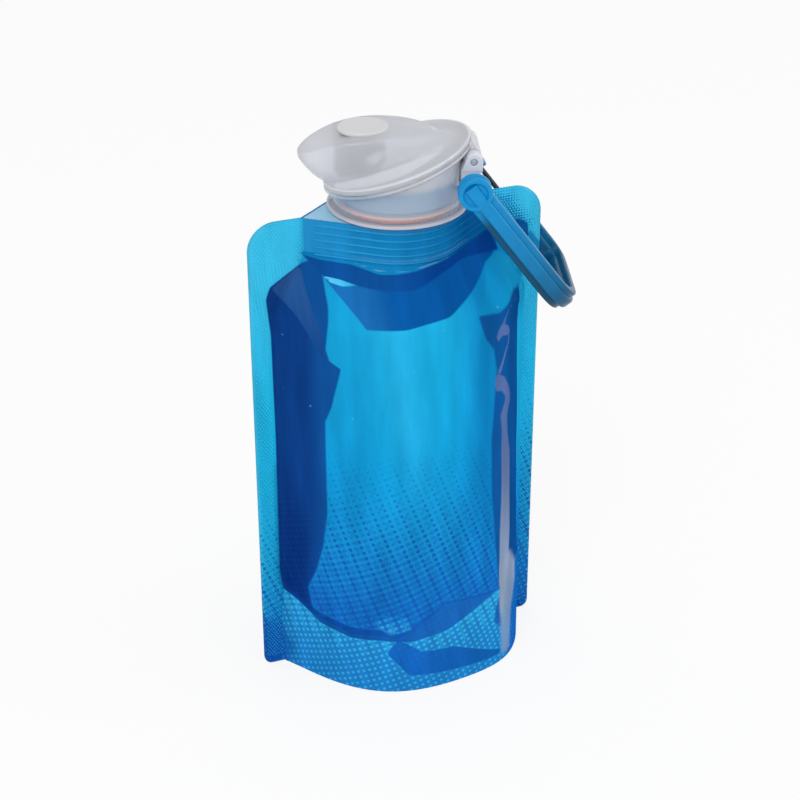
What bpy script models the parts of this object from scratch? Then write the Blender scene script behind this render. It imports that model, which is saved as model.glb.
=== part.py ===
"""Collapsible drinking bottle: a stand-up film pouch with a screw cap, a flip lid and a carabiner.

Sizes are in millimetres and become metres where a mesh is made. The origin is at the middle of
the base, +X runs across the pouch, -Y is its front and +Z is up. Pieces of the cap are modelled
in the cap's own frame, which is turned about Z: there +X points at the lid's hinge.
"""

import math

import bmesh
import bpy
from mathutils import Matrix

MM = 0.001

# Clearances between pieces
SEAT_GAP = 0.3
THREAD_GAP = 0.4

# Film pouch
POUCH_WIDTH = 90.0
POUCH_HEIGHT = 148.5
FILM = 0.45
SIDE_SEAL = 6.5
EAR_RADIUS = 8.5
FOOT_RADIUS = 2.5
BASE_DEPTH = 30.1
SHOULDER_DEPTH = 25.6
SHOULDER_DROP = 28.5
FRONT_SKEW = 0.42
GUSSET_SEAL_MIDDLE = 11.0
GUSSET_SEAL_CORNER = 27.0

# Spout fitment welded between the films
BOAT_INSET = 0.6
BOAT_HALF_LENGTH = 28.3
BOAT_HEIGHT = 11.0
RIB_COUNT = 5
RIB_DEPTH = 0.8

# Screw thread between the fitment and the cap
THREAD_CORE_RADIUS = 11.7
THREAD_DEPTH = 1.0
THREAD_PITCH = 4.0
THREAD_TURNS = 1.75
THREAD_WIDTH = 1.8
CAP_BORE_RADIUS = 10.0

# Gasket ring under the cap
GASKET_THICKNESS = 1.6

# Screw cap
CAP_YAW = -18.0
CAP_RADIUS = 18.5
CAP_WALL = 1.5
SKIRT_LIP = 2.1
DECK_OVERHANG = 2.4
DECK_THICKNESS = 1.4

# Plane in which the lid meets the cap
RIM_RISE = 13.4
RIM_SLOPE = 0.32
RIM_CENTRE_X = -0.7
RIM_SHIFT = 0.5
RIM_OVERHANG_X = 2.3
RIM_OVERHANG_Y = 3.2

# Mouthpiece
MOUTH_X = -9.5
MOUTH_RADIUS = 6.4
MOUTH_BORE = 4.3
MOUTH_RISE = 3.1
MOUTH_FLANGE = 8.2

# Flip lid
LID_WALL = 1.6
LID_RISE = 10.0
LID_PEAK_X = -4.0
BEAK_TIP_X = -28.5
BEAK_DROP = 6.7
BEAK_POWER = 2.3
PLATE_HALF_WIDTH = 10.8
LEDGE_HEIGHT = 4.7
RIM_STEP = 1.5
DISC_RADIUS = 7.3
DISC_THICKNESS = 1.2
DISC_SINK = 0.5
PLUG_FLANGE = 6.9
PLUG_THICKNESS = 2.4
PLUG_CROWN = 3.6
PLUG_DEPTH = 4.0

# Lid hinge
PIN_OVERHANG = 2.3
PIN_RISE = 2.3
PIN_RADIUS = 0.9
KNUCKLE_RADIUS = 2.6
KNUCKLE_HALF = 6.1
EAR_WIDTH = 3.5

# Carabiner and its clip on the cap
BAR_RISE = 10.1
BAR_RADIUS = 1.7
CLIP_WALL = 1.3
CLIP_MOUTH = 3.0
HANG_ANGLE = 37.0
LOOP_WIDTH = 35.0
LOOP_SHIFT = -0.5
LOOP_LENGTH = 47.0
NEAR_CORNER = 9.0
FAR_CORNER = 4.6
FRAME_WIDTH = 5.0
FRAME_THICKNESS = 7.4
CORE_THICKNESS = 4.0
LIP_STEP = 1.2
HEAD_RADIUS = 4.8
FAR_HEAD_RADIUS = 3.5
FORK_THICKNESS = 5.4
NOSE_START = 28.0
NOSE_WIDTH = 3.6
NOSE_THICKNESS = 4.2

# Wire gate
WIRE_RADIUS = 0.75
EYE_RADIUS = 1.9
GATE_PIVOT = 5.2
GATE_END = 31.0
GATE_BALL = 1.25
RIVET_RADIUS = 0.85

# Facet counts
ROUND = 48
SMALL_ROUND = 20

# Sizes that follow from the ones above
SHOULDER_Z = POUCH_HEIGHT - SHOULDER_DROP
BOAT_RADIUS = CAP_RADIUS - BOAT_INSET
BOAT_TOP = POUCH_HEIGHT
BOAT_BOTTOM = BOAT_TOP - BOAT_HEIGHT
LID_CEILING = LID_WALL + 0.2
BOAT_TANGENT = math.acos(BOAT_RADIUS / BOAT_HALF_LENGTH)
CHAMBER_HALF = POUCH_WIDTH / 2 - SIDE_SEAL
GASKET_RADIUS = CAP_RADIUS - SKIRT_LIP - SEAT_GAP - GASKET_THICKNESS / 2
GASKET_Z = BOAT_TOP + SEAT_GAP + GASKET_THICKNESS / 2
CAP_SEAT_Z = GASKET_Z + GASKET_THICKNESS / 2 + SEAT_GAP
CAP_FLOOR_TOP = CAP_SEAT_Z + CAP_WALL
CAP_SKIRT_Z = BOAT_TOP + THREAD_GAP
PLUG_TUBE_END = BOAT_BOTTOM + 2.0
FEMALE_ROOT = THREAD_CORE_RADIUS + THREAD_DEPTH + THREAD_GAP
RIM_Z = POUCH_HEIGHT + RIM_RISE
RIM_HALF_LENGTH = CAP_RADIUS + RIM_OVERHANG_X
RIM_HALF_WIDTH = CAP_RADIUS + RIM_OVERHANG_Y
DECK_RADIUS = CAP_RADIUS + DECK_OVERHANG
MOUTH_TOP = RIM_Z + MOUTH_RISE
LID_PEAK_Z = RIM_Z + LID_RISE
PIN_X = CAP_RADIUS + PIN_OVERHANG
PIN_Z = RIM_Z + PIN_RISE
BAR_X = CAP_RADIUS + SEAT_GAP + BAR_RADIUS
BAR_Z = POUCH_HEIGHT + BAR_RISE
DECK_FLAT_X = PIN_X - KNUCKLE_RADIUS - THREAD_GAP
BAR_BORE = BAR_RADIUS + SEAT_GAP
PIN_BORE = PIN_RADIUS + SEAT_GAP
EAR_INNER = KNUCKLE_HALF + THREAD_GAP
CLIP_HALF = EAR_INNER + EAR_WIDTH
CLIP_TOP = BAR_Z + BAR_BORE + CLIP_WALL
CLIP_BOTTOM = BAR_Z - BAR_BORE - CLIP_WALL


def clear_scene():
    for old in list(bpy.data.objects):
        bpy.data.objects.remove(old, do_unlink=True)


def make_material(name, colour, roughness, metallic=0.0, alpha=1.0):
    material = bpy.data.materials.new(name)
    material.use_nodes = True
    shader = material.node_tree.nodes["Principled BSDF"]
    shader.inputs["Base Color"].default_value = (*colour, 1.0)
    shader.inputs["Roughness"].default_value = roughness
    shader.inputs["Metallic"].default_value = metallic
    shader.inputs["Alpha"].default_value = alpha
    return material


def make_frame(name, location, rotation, parent=None):
    """An empty that carries pieces; its axes are those of a joint."""
    empty = bpy.data.objects.new(name, None)
    empty.location = [value * MM for value in location]
    empty.rotation_euler = rotation
    empty.parent = parent
    bpy.context.scene.collection.objects.link(empty)
    return empty


def make_piece(name, vertices, faces, parent=None, origin=(0.0, 0.0, 0.0), material=None):
    """A closed mesh from millimetre points, with its object's origin at the given point."""
    mesh = bpy.data.meshes.new(name)
    local = [[(point[axis] - origin[axis]) * MM for axis in range(3)] for point in vertices]
    mesh.from_pydata(local, [], faces)
    shape = bmesh.new()
    shape.from_mesh(mesh)
    bmesh.ops.recalc_face_normals(shape, faces=shape.faces)
    shape.to_mesh(mesh)
    shape.free()
    mesh.shade_smooth()
    mesh.set_sharp_from_angle(angle=math.radians(35))
    piece = bpy.data.objects.new(name, mesh)
    piece.location = [value * MM for value in origin]
    piece.parent = parent
    bpy.context.scene.collection.objects.link(piece)
    if material:
        mesh.materials.append(material)
    return piece


def loft(rings, start="fan", end="fan"):
    """Faces between closed rings of equal length; the ends are fans, or "join" makes a loop."""
    count = len(rings[0])
    vertices = [point for ring in rings for point in ring]
    faces = []
    pairs = list(zip(range(len(rings) - 1), range(1, len(rings))))
    if start == "join":
        pairs.append((len(rings) - 1, 0))
    for low, high in pairs:
        for k in range(count):
            after = (k + 1) % count
            faces.append((low * count + k, low * count + after, high * count + after, high * count + k))
    if start == "fan":
        add_fan(vertices, faces, 0, count)
    if end == "fan" and start != "join":
        add_fan(vertices, faces, (len(rings) - 1) * count, count)
    return vertices, faces


def add_fan(vertices, faces, first, count):
    ring = vertices[first:first + count]
    centre = tuple(sum(point[axis] for point in ring) / count for axis in range(3))
    vertices.append(centre)
    hub = len(vertices) - 1
    for k in range(count):
        faces.append((first + k, first + (k + 1) % count, hub))


def circle(radius, z, centre=(0.0, 0.0), count=ROUND):
    angles = [2 * math.pi * k / count for k in range(count)]
    return [(centre[0] + radius * math.cos(a), centre[1] + radius * math.sin(a), z) for a in angles]


def turned(profile, centre=(0.0, 0.0), count=ROUND, closed=False):
    """A profile of (radius, z) pairs turned about a vertical axis."""
    rings = [circle(radius, z, centre, count) for radius, z in profile]
    return loft(rings, "join" if closed else "fan")


def cross_cylinder(radius, low, high, centre, count=SMALL_ROUND):
    """A cylinder along Y from low to high, centred at (x, z)."""
    rings = []
    for y in (low, high):
        angles = [2 * math.pi * k / count for k in range(count)]
        rings.append([
            (centre[0] + radius * math.cos(a), y, centre[1] + radius * math.sin(a)) for a in angles])
    return loft(rings)


def along_x_cylinder(radius, low, high, centre, count=SMALL_ROUND):
    """A cylinder along X from low to high, centred at (y, z)."""
    rings = []
    for x in (low, high):
        angles = [2 * math.pi * k / count for k in range(count)]
        rings.append([
            (x, centre[0] + radius * math.cos(a), centre[1] + radius * math.sin(a)) for a in angles])
    return loft(rings)


def block(low, high):
    corners = [(low[0], low[1]), (high[0], low[1]), (high[0], high[1]), (low[0], high[1])]
    vertices = [(x, y, low[2]) for x, y in corners] + [(x, y, high[2]) for x, y in corners]
    faces = [(0, 1, 2, 3), (4, 5, 6, 7), (0, 1, 5, 4), (1, 2, 6, 5), (2, 3, 7, 6), (3, 0, 4, 7)]
    return vertices, faces


def extruded_profile(outline, low, high):
    """An outline of (x, z) points extruded along Y."""
    count = len(outline)
    vertices = [(x, low, z) for x, z in outline] + [(x, high, z) for x, z in outline]
    faces = [tuple(range(count)), tuple(range(count, 2 * count))]
    for k in range(count):
        after = (k + 1) % count
        faces.append((k, after, count + after, count + k))
    return vertices, faces


def shape_with(piece, name, geometry, operation):
    """Join a shape to a piece, or cut it away; the helper shape is not a piece itself."""
    tool = make_piece(name, *geometry, parent=piece.parent, origin=origin_of(piece))
    tool.hide_render = True
    tool.display_type = "WIRE"
    modifier = piece.modifiers.new(name, "BOOLEAN")
    modifier.operation = operation
    modifier.object = tool
    modifier.solver = "EXACT"
    return tool


def origin_of(piece):
    return tuple(value / MM for value in piece.location)


def smooth_step(value):
    value = min(1.0, max(0.0, value))
    return value * value * (3 - 2 * value)


# Pouch

def boat_outline_y(x, offset):
    """Half thickness of the fitment's pointed outline at x, grown by an offset."""
    radius = BOAT_RADIUS + offset
    tangent_x = radius * math.cos(BOAT_TANGENT)
    if abs(x) < tangent_x:
        return math.sqrt(radius * radius - x * x)
    tip_x = radius / math.cos(BOAT_TANGENT)
    return max(0.0, (tip_x - abs(x)) / math.tan(BOAT_TANGENT))


def chamber(z):
    """Half width, depth and share of the fitment's outline in the water chamber at height z."""
    neck_half = (BOAT_RADIUS + SEAT_GAP) / math.cos(BOAT_TANGENT)
    share = smooth_step((z - SHOULDER_Z) / (BOAT_BOTTOM - SHOULDER_Z))
    narrowing = min(1.0, max(0.0, (z - SHOULDER_Z) / (BOAT_BOTTOM - SHOULDER_Z)))
    half_width = CHAMBER_HALF + (neck_half - CHAMBER_HALF) * narrowing
    depth = BASE_DEPTH + (SHOULDER_DEPTH - BASE_DEPTH) * min(1.0, z / SHOULDER_Z)
    return half_width, depth, share


def swell(across, side):
    """Depth factor of a film at a share of its half width: the front one is fuller on its right."""
    if side > 0:
        return 1.0
    return 1.0 + FRONT_SKEW * (across ** 3 - across ** 6)


def panel_curve(angle, z, offset, side):
    """Inner film surface, as x and depth in front of the middle plane, grown by an offset."""
    half_width, depth, share = chamber(z)
    x = half_width * math.sin(angle)
    pouch_depth = depth * math.cos(angle) * swell(math.sin(angle), side)
    neck_depth = boat_outline_y(x, SEAT_GAP)
    mixed = pouch_depth + (neck_depth - pouch_depth) * share
    return x, SEAT_GAP / 2 + mixed + offset


def panel_edge(z):
    """Half width of the film's outline at height z, with its rounded corners."""
    half = POUCH_WIDTH / 2
    ear_start = POUCH_HEIGHT - EAR_RADIUS
    if z > ear_start:
        return half - EAR_RADIUS + math.sqrt(max(0.0, EAR_RADIUS ** 2 - (z - ear_start) ** 2))
    if z < FOOT_RADIUS:
        return half - FOOT_RADIUS + math.sqrt(max(0.0, FOOT_RADIUS ** 2 - (FOOT_RADIUS - z) ** 2))
    return half


def panel_levels():
    foot = [FOOT_RADIUS * (1 - math.cos(math.radians(a))) for a in (0, 40, 90)]
    ear_start = POUCH_HEIGHT - EAR_RADIUS
    middle = [SHOULDER_Z * share for share in (0.1, 0.25, 0.45, 0.65, 0.85, 1.0)]
    shoulder = [SHOULDER_Z + (BOAT_BOTTOM - SHOULDER_Z) * share for share in (0.25, 0.5, 0.75, 1.0)]
    ear = [ear_start + EAR_RADIUS * math.sin(math.radians(a)) for a in (0, 20, 40, 60, 76, 90)]
    return sorted(foot + middle + shoulder + ear)


def film_panel(name, side, material):
    """One film of the pouch: side is -1 for the front and +1 for the back."""
    columns = 22
    grid = []
    for offset in (0.0, FILM):
        sheet = []
        for z in panel_levels():
            half_width = chamber(z)[0]
            edge = panel_edge(z)
            flat = SEAT_GAP / 2 + offset
            row = [(-edge, flat), (-(edge + half_width) / 2, flat)]
            for k in range(columns + 1):
                angle = math.pi * (k / columns - 0.5)
                row.append(panel_curve(angle, z, offset, side))
            row += [((edge + half_width) / 2, flat), (edge, flat)]
            sheet.append([(x, side * y, z) for x, y in row])
        grid.append(sheet)
    rows = len(grid[0])
    width = len(grid[0][0])
    vertices = [point for sheet in grid for row in sheet for point in row]

    def index(layer, row, column):
        return (layer * rows + row) * width + column

    faces = []
    for layer in (0, 1):
        for r in range(rows - 1):
            for c in range(width - 1):
                faces.append((index(layer, r, c), index(layer, r, c + 1),
                              index(layer, r + 1, c + 1), index(layer, r + 1, c)))
    for r in range(rows - 1):
        for c in (0, width - 1):
            faces.append((index(0, r, c), index(0, r + 1, c), index(1, r + 1, c), index(1, r, c)))
    for c in range(width - 1):
        for r in (0, rows - 1):
            faces.append((index(0, r, c), index(0, r, c + 1), index(1, r, c + 1), index(1, r, c)))
    return make_piece(name, vertices, faces, material=material)


def gusset_ring(inset, height):
    """A ring inside the films; height is a number, or a function of the corner share."""
    ring = []
    for k in range(ROUND):
        angle = 2 * math.pi * k / ROUND
        corner = abs(math.cos(angle)) ** 3
        seal = GUSSET_SEAL_MIDDLE + (GUSSET_SEAL_CORNER - GUSSET_SEAL_MIDDLE) * corner
        z = height(seal) if callable(height) else height
        half_width, depth, _ = chamber(z)
        reach = (depth + SEAT_GAP / 2 - inset - SEAT_GAP) * swell(math.cos(angle), math.sin(angle))
        ring.append(((half_width - inset - SEAT_GAP) * math.cos(angle), reach * math.sin(angle), z))
    return ring


def base_gusset(material):
    """Bottom film: a skirt sealed to both panels, folded over and down to the floor."""
    rings = [
        gusset_ring(14.0, FILM),
        gusset_ring(7.0, FILM + 0.8),
        gusset_ring(3.4, lambda seal: 0.35 * seal + FILM),
        gusset_ring(1.9, lambda seal: 0.75 * seal),
        gusset_ring(FILM, lambda seal: seal + FILM),
        gusset_ring(0.0, lambda seal: seal),
        gusset_ring(0.0, 0.0),
        gusset_ring(FILM, 0.0),
        gusset_ring(FILM + 0.1, lambda seal: seal - 0.9),
        gusset_ring(1.9 - FILM, lambda seal: 0.75 * seal - FILM),
        gusset_ring(3.4 - FILM, lambda seal: 0.35 * seal),
        gusset_ring(7.0 - FILM, 0.6),
        gusset_ring(14.0 - FILM, 0.0),
    ]
    return make_piece("base_gusset", *loft(rings), material=material)


# Spout fitment and thread

def boat_ring(radius, z):
    """The fitment's outline: a circle whose two sides run out to points."""
    ring = []
    for k in range(ROUND):
        angle = 2 * math.pi * k / ROUND
        from_tip = abs(math.atan2(math.sin(angle), abs(math.cos(angle))))
        reach = radius / math.cos(max(0.0, BOAT_TANGENT - from_tip))
        ring.append((reach * math.cos(angle), reach * math.sin(angle), z))
    return ring


def helix_ridge(inner, outer, base_width, crest_width, start_z, turns, phase):
    """A thread ridge between two radii; it rises one pitch a turn, counted from the phase angle."""
    steps = int(turns * 24)
    first_angle = 2 * math.pi * start_z / THREAD_PITCH
    rings = []
    for k in range(steps + 1):
        angle = 2 * math.pi * turns * k / steps
        z = start_z + THREAD_PITCH * angle / (2 * math.pi)
        fade = min(1.0, 0.25 + k / 3, 0.25 + (steps - k) / 3)
        tip = inner + (outer - inner) * fade
        turn = first_angle + angle + phase
        section = [(inner, -base_width / 2), (tip, -crest_width / 2), (tip, crest_width / 2), (inner, base_width / 2)]
        rings.append([(r * math.cos(turn), r * math.sin(turn), z + dz) for r, dz in section])
    return loft(rings)


def spout_fitment(material):
    pitch = BOAT_HEIGHT / RIB_COUNT
    rings = []
    for rib in range(RIB_COUNT):
        low = BOAT_BOTTOM + rib * pitch
        rings.append(boat_ring(BOAT_RADIUS, low))
        if rib < RIB_COUNT - 1:
            rings.append(boat_ring(BOAT_RADIUS, low + 0.6 * pitch))
            rings.append(boat_ring(BOAT_RADIUS - RIB_DEPTH, low + 0.8 * pitch))
    rings.append(boat_ring(BOAT_RADIUS, BOAT_TOP))
    rings.append(circle(FEMALE_ROOT, BOAT_TOP))
    rings.append(circle(FEMALE_ROOT, BOAT_BOTTOM))
    fitment = make_piece("spout_fitment", *loft(rings, "join"), material=material)
    overlap = 0.4
    ridge = helix_ridge(FEMALE_ROOT + overlap, THREAD_CORE_RADIUS + THREAD_GAP, 1.7, 0.7,
                        BOAT_BOTTOM + 2.0, THREAD_TURNS, math.pi)
    shape_with(fitment, "fitment_thread", ridge, "UNION")
    return fitment


def neck_gasket(material):
    half = GASKET_THICKNESS / 2
    profile = []
    for k in range(8):
        angle = 2 * math.pi * (k + 0.5) / 8
        profile.append((GASKET_RADIUS + half * math.cos(angle) / math.cos(math.pi / 8),
                        GASKET_Z + half * math.sin(angle) / math.cos(math.pi / 8)))
    return make_piece("neck_gasket", *turned(profile, closed=True), material=material)


# Screw cap

def rim_plane(x):
    """Height of the slanted plane on which the lid's rim rests."""
    return RIM_Z + RIM_SLOPE * (x - RIM_CENTRE_X)


def slanted_circle(radius, drop):
    """A circle in plan that lies in the rim's plane, lowered by a drop."""
    return [(x, y, rim_plane(x) - drop) for x, y, _ in circle(radius, 0.0)]


def cap_body(frame, material):
    deck_top = SEAT_GAP
    deck_under = SEAT_GAP + DECK_THICKNESS
    inner = CAP_RADIUS - CAP_WALL
    skirt_inner = CAP_RADIUS - SKIRT_LIP
    rings = [
        slanted_circle(inner / 2, deck_under),
        slanted_circle(inner, deck_under),
        circle(inner, CAP_FLOOR_TOP),
        circle(CAP_BORE_RADIUS, CAP_FLOOR_TOP),
        circle(CAP_BORE_RADIUS, PLUG_TUBE_END),
        circle(THREAD_CORE_RADIUS, PLUG_TUBE_END),
        circle(THREAD_CORE_RADIUS, CAP_SEAT_Z),
        circle(skirt_inner, CAP_SEAT_Z),
        circle(skirt_inner, CAP_SKIRT_Z),
        circle(CAP_RADIUS, CAP_SKIRT_Z),
        slanted_circle(CAP_RADIUS, deck_under + 1.2),
        slanted_circle(DECK_RADIUS, deck_under - 0.4),
        slanted_circle(DECK_RADIUS, deck_top),
        slanted_circle(inner / 2, deck_top),
    ]
    body = make_piece("cap_body", *loft(rings), parent=frame, material=material)
    high = LID_PEAK_Z + 10.0
    far = PIN_X + 10.0
    shape_with(body, "deck_flat", block((DECK_FLAT_X, -far, CLIP_TOP - 0.8), (far, far, high)), "DIFFERENCE")
    clip = block((CAP_RADIUS - 1.2, -CLIP_HALF, CLIP_BOTTOM), (BAR_X + BAR_BORE + 0.6, CLIP_HALF, CLIP_TOP))
    shape_with(body, "clip_block", clip, "UNION")
    room = cross_cylinder(KNUCKLE_RADIUS + THREAD_GAP, -KNUCKLE_HALF - SEAT_GAP, KNUCKLE_HALF + SEAT_GAP, (PIN_X, PIN_Z))
    shape_with(body, "knuckle_room", room, "DIFFERENCE")
    for number, side in enumerate((-1, 1)):
        low, top = sorted((side * EAR_INNER, side * CLIP_HALF))
        shape_with(body, f"hinge_ear_{number}", extruded_profile(ear_outline(), low, top), "UNION")
    mouth = turned([(MOUTH_RADIUS + SEAT_GAP, CAP_FLOOR_TOP), (MOUTH_RADIUS + SEAT_GAP, high)], (MOUTH_X, 0.0), 32)
    shape_with(body, "mouth_hole", mouth, "DIFFERENCE")
    reach = CLIP_HALF + 2.0
    shape_with(body, "bar_bore", cross_cylinder(BAR_BORE, -reach, reach, (BAR_X, BAR_Z)), "DIFFERENCE")
    mouth_half = CLIP_MOUTH / 2
    slot = block((BAR_X, -reach, BAR_Z - mouth_half), (far, reach, BAR_Z + mouth_half))
    shape_with(body, "clip_mouth", slot, "DIFFERENCE")
    shape_with(body, "pin_bore", cross_cylinder(PIN_BORE, -reach, reach, (PIN_X, PIN_Z), 16), "DIFFERENCE")
    overlap = 0.4
    ridge = helix_ridge(THREAD_CORE_RADIUS - overlap, THREAD_CORE_RADIUS + THREAD_DEPTH, 2.1, 0.9,
                        BOAT_BOTTOM + 3.0, THREAD_TURNS, -math.radians(CAP_YAW))
    shape_with(body, "cap_thread", ridge, "UNION")
    return body


def ear_outline():
    """Side view of one hinge ear: round over the pin, with its foot in the clip block."""
    foot = CLIP_TOP - 0.8
    arc = [(PIN_X + KNUCKLE_RADIUS * math.cos(a), PIN_Z + KNUCKLE_RADIUS * math.sin(a))
           for a in (math.radians(15 * k) for k in range(0, 10))]
    return [(PIN_X + KNUCKLE_RADIUS - 0.2, foot)] + arc + [(CAP_RADIUS - 1.0, foot + 1.2), (CAP_RADIUS - 1.0, foot)]


def mouthpiece(frame, material):
    """The drinking tube; its collar sits on the slanted deck."""
    centre = (MOUTH_X, 0.0)
    count = 32
    foot = rim_plane(MOUTH_X - MOUTH_FLANGE)

    def slanted(radius, lift):
        return [(x, y, rim_plane(x) + lift) for x, y, _ in circle(radius, 0.0, centre, count)]

    rings = [
        circle(MOUTH_BORE, MOUTH_TOP - 0.6, centre, count),
        circle(MOUTH_BORE + 0.6, MOUTH_TOP, centre, count),
        circle(MOUTH_RADIUS - 0.6, MOUTH_TOP, centre, count),
        circle(MOUTH_RADIUS, MOUTH_TOP - 0.6, centre, count),
        slanted(MOUTH_RADIUS, 1.2),
        slanted(MOUTH_FLANGE, 1.2),
        slanted(MOUTH_FLANGE, 0.0),
        slanted(MOUTH_RADIUS, 0.0),
        circle(MOUTH_RADIUS, foot - 2.4, centre, count),
        circle(MOUTH_BORE, foot - 2.4, centre, count),
    ]
    return make_piece("mouthpiece", *loft(rings, "join"), parent=frame, material=material)


# Lid

def plate_z(x):
    """Height of the lid's top along its middle line."""
    if x < LID_PEAK_X:
        share = (LID_PEAK_X - x) / (LID_PEAK_X - BEAK_TIP_X)
        return LID_PEAK_Z - BEAK_DROP * share ** BEAK_POWER
    return LID_PEAK_Z - 0.006 * (x - LID_PEAK_X) ** 2


def rim_ring(inset_x, inset_y, shift, step, lift):
    """A ring a step above the rim, drawn in by two insets; its lift fades towards both ends."""
    ring = []
    for k in range(ROUND):
        angle = 2 * math.pi * k / ROUND
        x = RIM_CENTRE_X + RIM_SHIFT + shift + (RIM_HALF_LENGTH - inset_x) * math.cos(angle)
        y = (RIM_HALF_WIDTH - inset_y) * math.sin(angle)
        ring.append((x, y, rim_plane(x) + step + lift * math.sin(angle) ** 2))
    return ring


def plate_ring(low_x, high_x, half_width, drop):
    """A long oval ring that follows the lid's top, lowered by a drop."""
    ring = []
    for k in range(ROUND):
        angle = 2 * math.pi * k / ROUND
        x = (low_x + high_x) / 2 + (high_x - low_x) / 2 * math.cos(angle)
        side = math.sin(angle)
        y = half_width * math.copysign(abs(side) ** 0.75, side)
        ring.append((x, y, plate_z(x) - drop))
    return ring


def between(low_ring, high_ring, rise):
    """A ring between two others that keeps close to the upper one in plan, for a hollow wall."""
    ring = []
    for k, (low, high) in enumerate(zip(low_ring, high_ring)):
        inward = 0.45 + 0.3 * abs(math.sin(2 * math.pi * k / ROUND))
        ring.append((low[0] + (high[0] - low[0]) * inward,
                     low[1] + (high[1] - low[1]) * inward,
                     low[2] + (high[2] - low[2]) * rise))
    return ring


def flip_lid(frame, material):
    ledge = rim_ring(2.3, 7.3, -2.6, RIM_STEP, LEDGE_HEIGHT - RIM_STEP)
    plate_edge = plate_ring(BEAK_TIP_X, 10.8, PLATE_HALF_WIDTH, 0.8)
    outer = [
        rim_ring(0.0, 0.0, 0.0, 0.0, 0.0),
        rim_ring(0.0, 0.0, 0.0, 0.9, 0.0),
        rim_ring(0.55, 1.3, -0.65, 1.2, 0.5),
        rim_ring(1.4, 4.1, -1.6, 1.4, 2.2),
        rim_ring(1.9, 5.5, -2.1, RIM_STEP, 2.8),
        ledge,
        between(ledge, plate_edge, 0.35),
        plate_edge,
        plate_ring(BEAK_TIP_X + 0.9, 9.4, PLATE_HALF_WIDTH - 1.2, 0.0),
        plate_ring(-18.0, 2.0, 4.5, -0.1),
    ]
    inner = [
        plate_ring(-16.0, 0.0, 3.5, LID_CEILING),
        plate_ring(-22.0, 7.0, 7.6, LID_CEILING),
        rim_ring(4.4, 9.7, -2.1, 0.4, 3.0),
        rim_ring(2.6, 4.4, -1.1, 0.3, 1.3),
        rim_ring(LID_WALL, LID_WALL, 0.0, 0.0, 0.0),
    ]
    origin = (PIN_X, 0.0, PIN_Z)
    lid = make_piece("lid", *loft(outer[::-1] + inner[::-1]), parent=frame, origin=origin, material=material)
    knuckle = extruded_profile(knuckle_outline(), -KNUCKLE_HALF, KNUCKLE_HALF)
    shape_with(lid, "lid_knuckle", knuckle, "UNION")
    bore = cross_cylinder(PIN_BORE, -CLIP_HALF, CLIP_HALF, (PIN_X, PIN_Z), 16)
    shape_with(lid, "lid_pin_bore", bore, "DIFFERENCE")
    pocket_floor = plate_z(MOUTH_X) - DISC_SINK - SEAT_GAP
    pocket = turned([(DISC_RADIUS + SEAT_GAP, pocket_floor), (DISC_RADIUS + SEAT_GAP, LID_PEAK_Z + 5)],
                    (MOUTH_X, 0.0), 32)
    shape_with(lid, "disc_pocket", pocket, "DIFFERENCE")
    return lid


def knuckle_outline():
    """Side view of the lid's knuckle: round over the pin, with a strap up into the lid's rim."""
    arc = [(PIN_X + KNUCKLE_RADIUS * math.cos(a), PIN_Z + KNUCKLE_RADIUS * math.sin(a))
           for a in (math.radians(15 * k) for k in range(-15, 4))]
    rim_end = RIM_CENTRE_X + RIM_SHIFT + RIM_HALF_LENGTH
    outer = (rim_end - 0.1, rim_plane(rim_end) + 0.5)
    inner = (rim_end - LID_WALL + 0.1, rim_plane(rim_end - LID_WALL) + 0.5)
    return arc + [outer, inner]


def lid_disc(frame, material):
    bottom = plate_z(MOUTH_X) - DISC_SINK
    top = bottom + DISC_THICKNESS
    profile = [(DISC_RADIUS, bottom), (DISC_RADIUS, top - 0.4), (DISC_RADIUS - 0.5, top)]
    return make_piece("lid_disc", *turned(profile, (MOUTH_X, 0.0), 32), parent=frame,
                      origin=(PIN_X, 0.0, PIN_Z), material=material)


def lid_plug(frame, material):
    """Soft plug under the lid: its flange closes the mouthpiece's top, its stem fills the bore."""
    flange_low = MOUTH_TOP + SEAT_GAP
    stem = MOUTH_BORE - SEAT_GAP
    profile = [
        (stem - 0.8, flange_low - PLUG_DEPTH), (stem, flange_low - PLUG_DEPTH + 0.8), (stem, flange_low),
        (PLUG_FLANGE, flange_low), (PLUG_FLANGE, flange_low + PLUG_THICKNESS),
        (PLUG_FLANGE - 1.5, flange_low + PLUG_THICKNESS),
        (PLUG_CROWN, plate_z(MOUTH_X - PLUG_CROWN) - LID_CEILING - SEAT_GAP),
    ]
    return make_piece("lid_plug", *turned(profile, (MOUTH_X, 0.0), 32), parent=frame,
                      origin=(PIN_X, 0.0, PIN_Z), material=material)


def hinge_pin(frame, material):
    length = CLIP_HALF - SEAT_GAP
    geometry = cross_cylinder(PIN_RADIUS, -length, length, (PIN_X, PIN_Z), 16)
    return make_piece("hinge_pin", *geometry, parent=frame, origin=(PIN_X, 0.0, PIN_Z), material=material)


# Carabiner, in its own frame: X is across its thickness, Y along its bar, -Z along its loop

def frame_section(path_point):
    """The stepped bar section at one point of the loop: a core with a thin lip on each face."""
    y, run, out_y, out_run, slim = path_point
    core = (FRAME_WIDTH + (NOSE_WIDTH - FRAME_WIDTH) * slim) / 2
    outer = (FRAME_THICKNESS + (NOSE_THICKNESS - FRAME_THICKNESS) * slim) / 2
    inner = CORE_THICKNESS / 2 - 0.4 * slim
    lip = core - LIP_STEP * (1 - slim / 2)
    section = [(core, -inner), (core, inner), (lip, inner), (lip, outer), (-lip, outer), (-lip, inner),
               (-core, inner), (-core, -inner), (-lip, -inner), (-lip, -outer), (lip, -outer), (lip, -inner)]
    return [(across, y + out_y * out, -(run + out_run * out)) for out, across in section]


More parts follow.
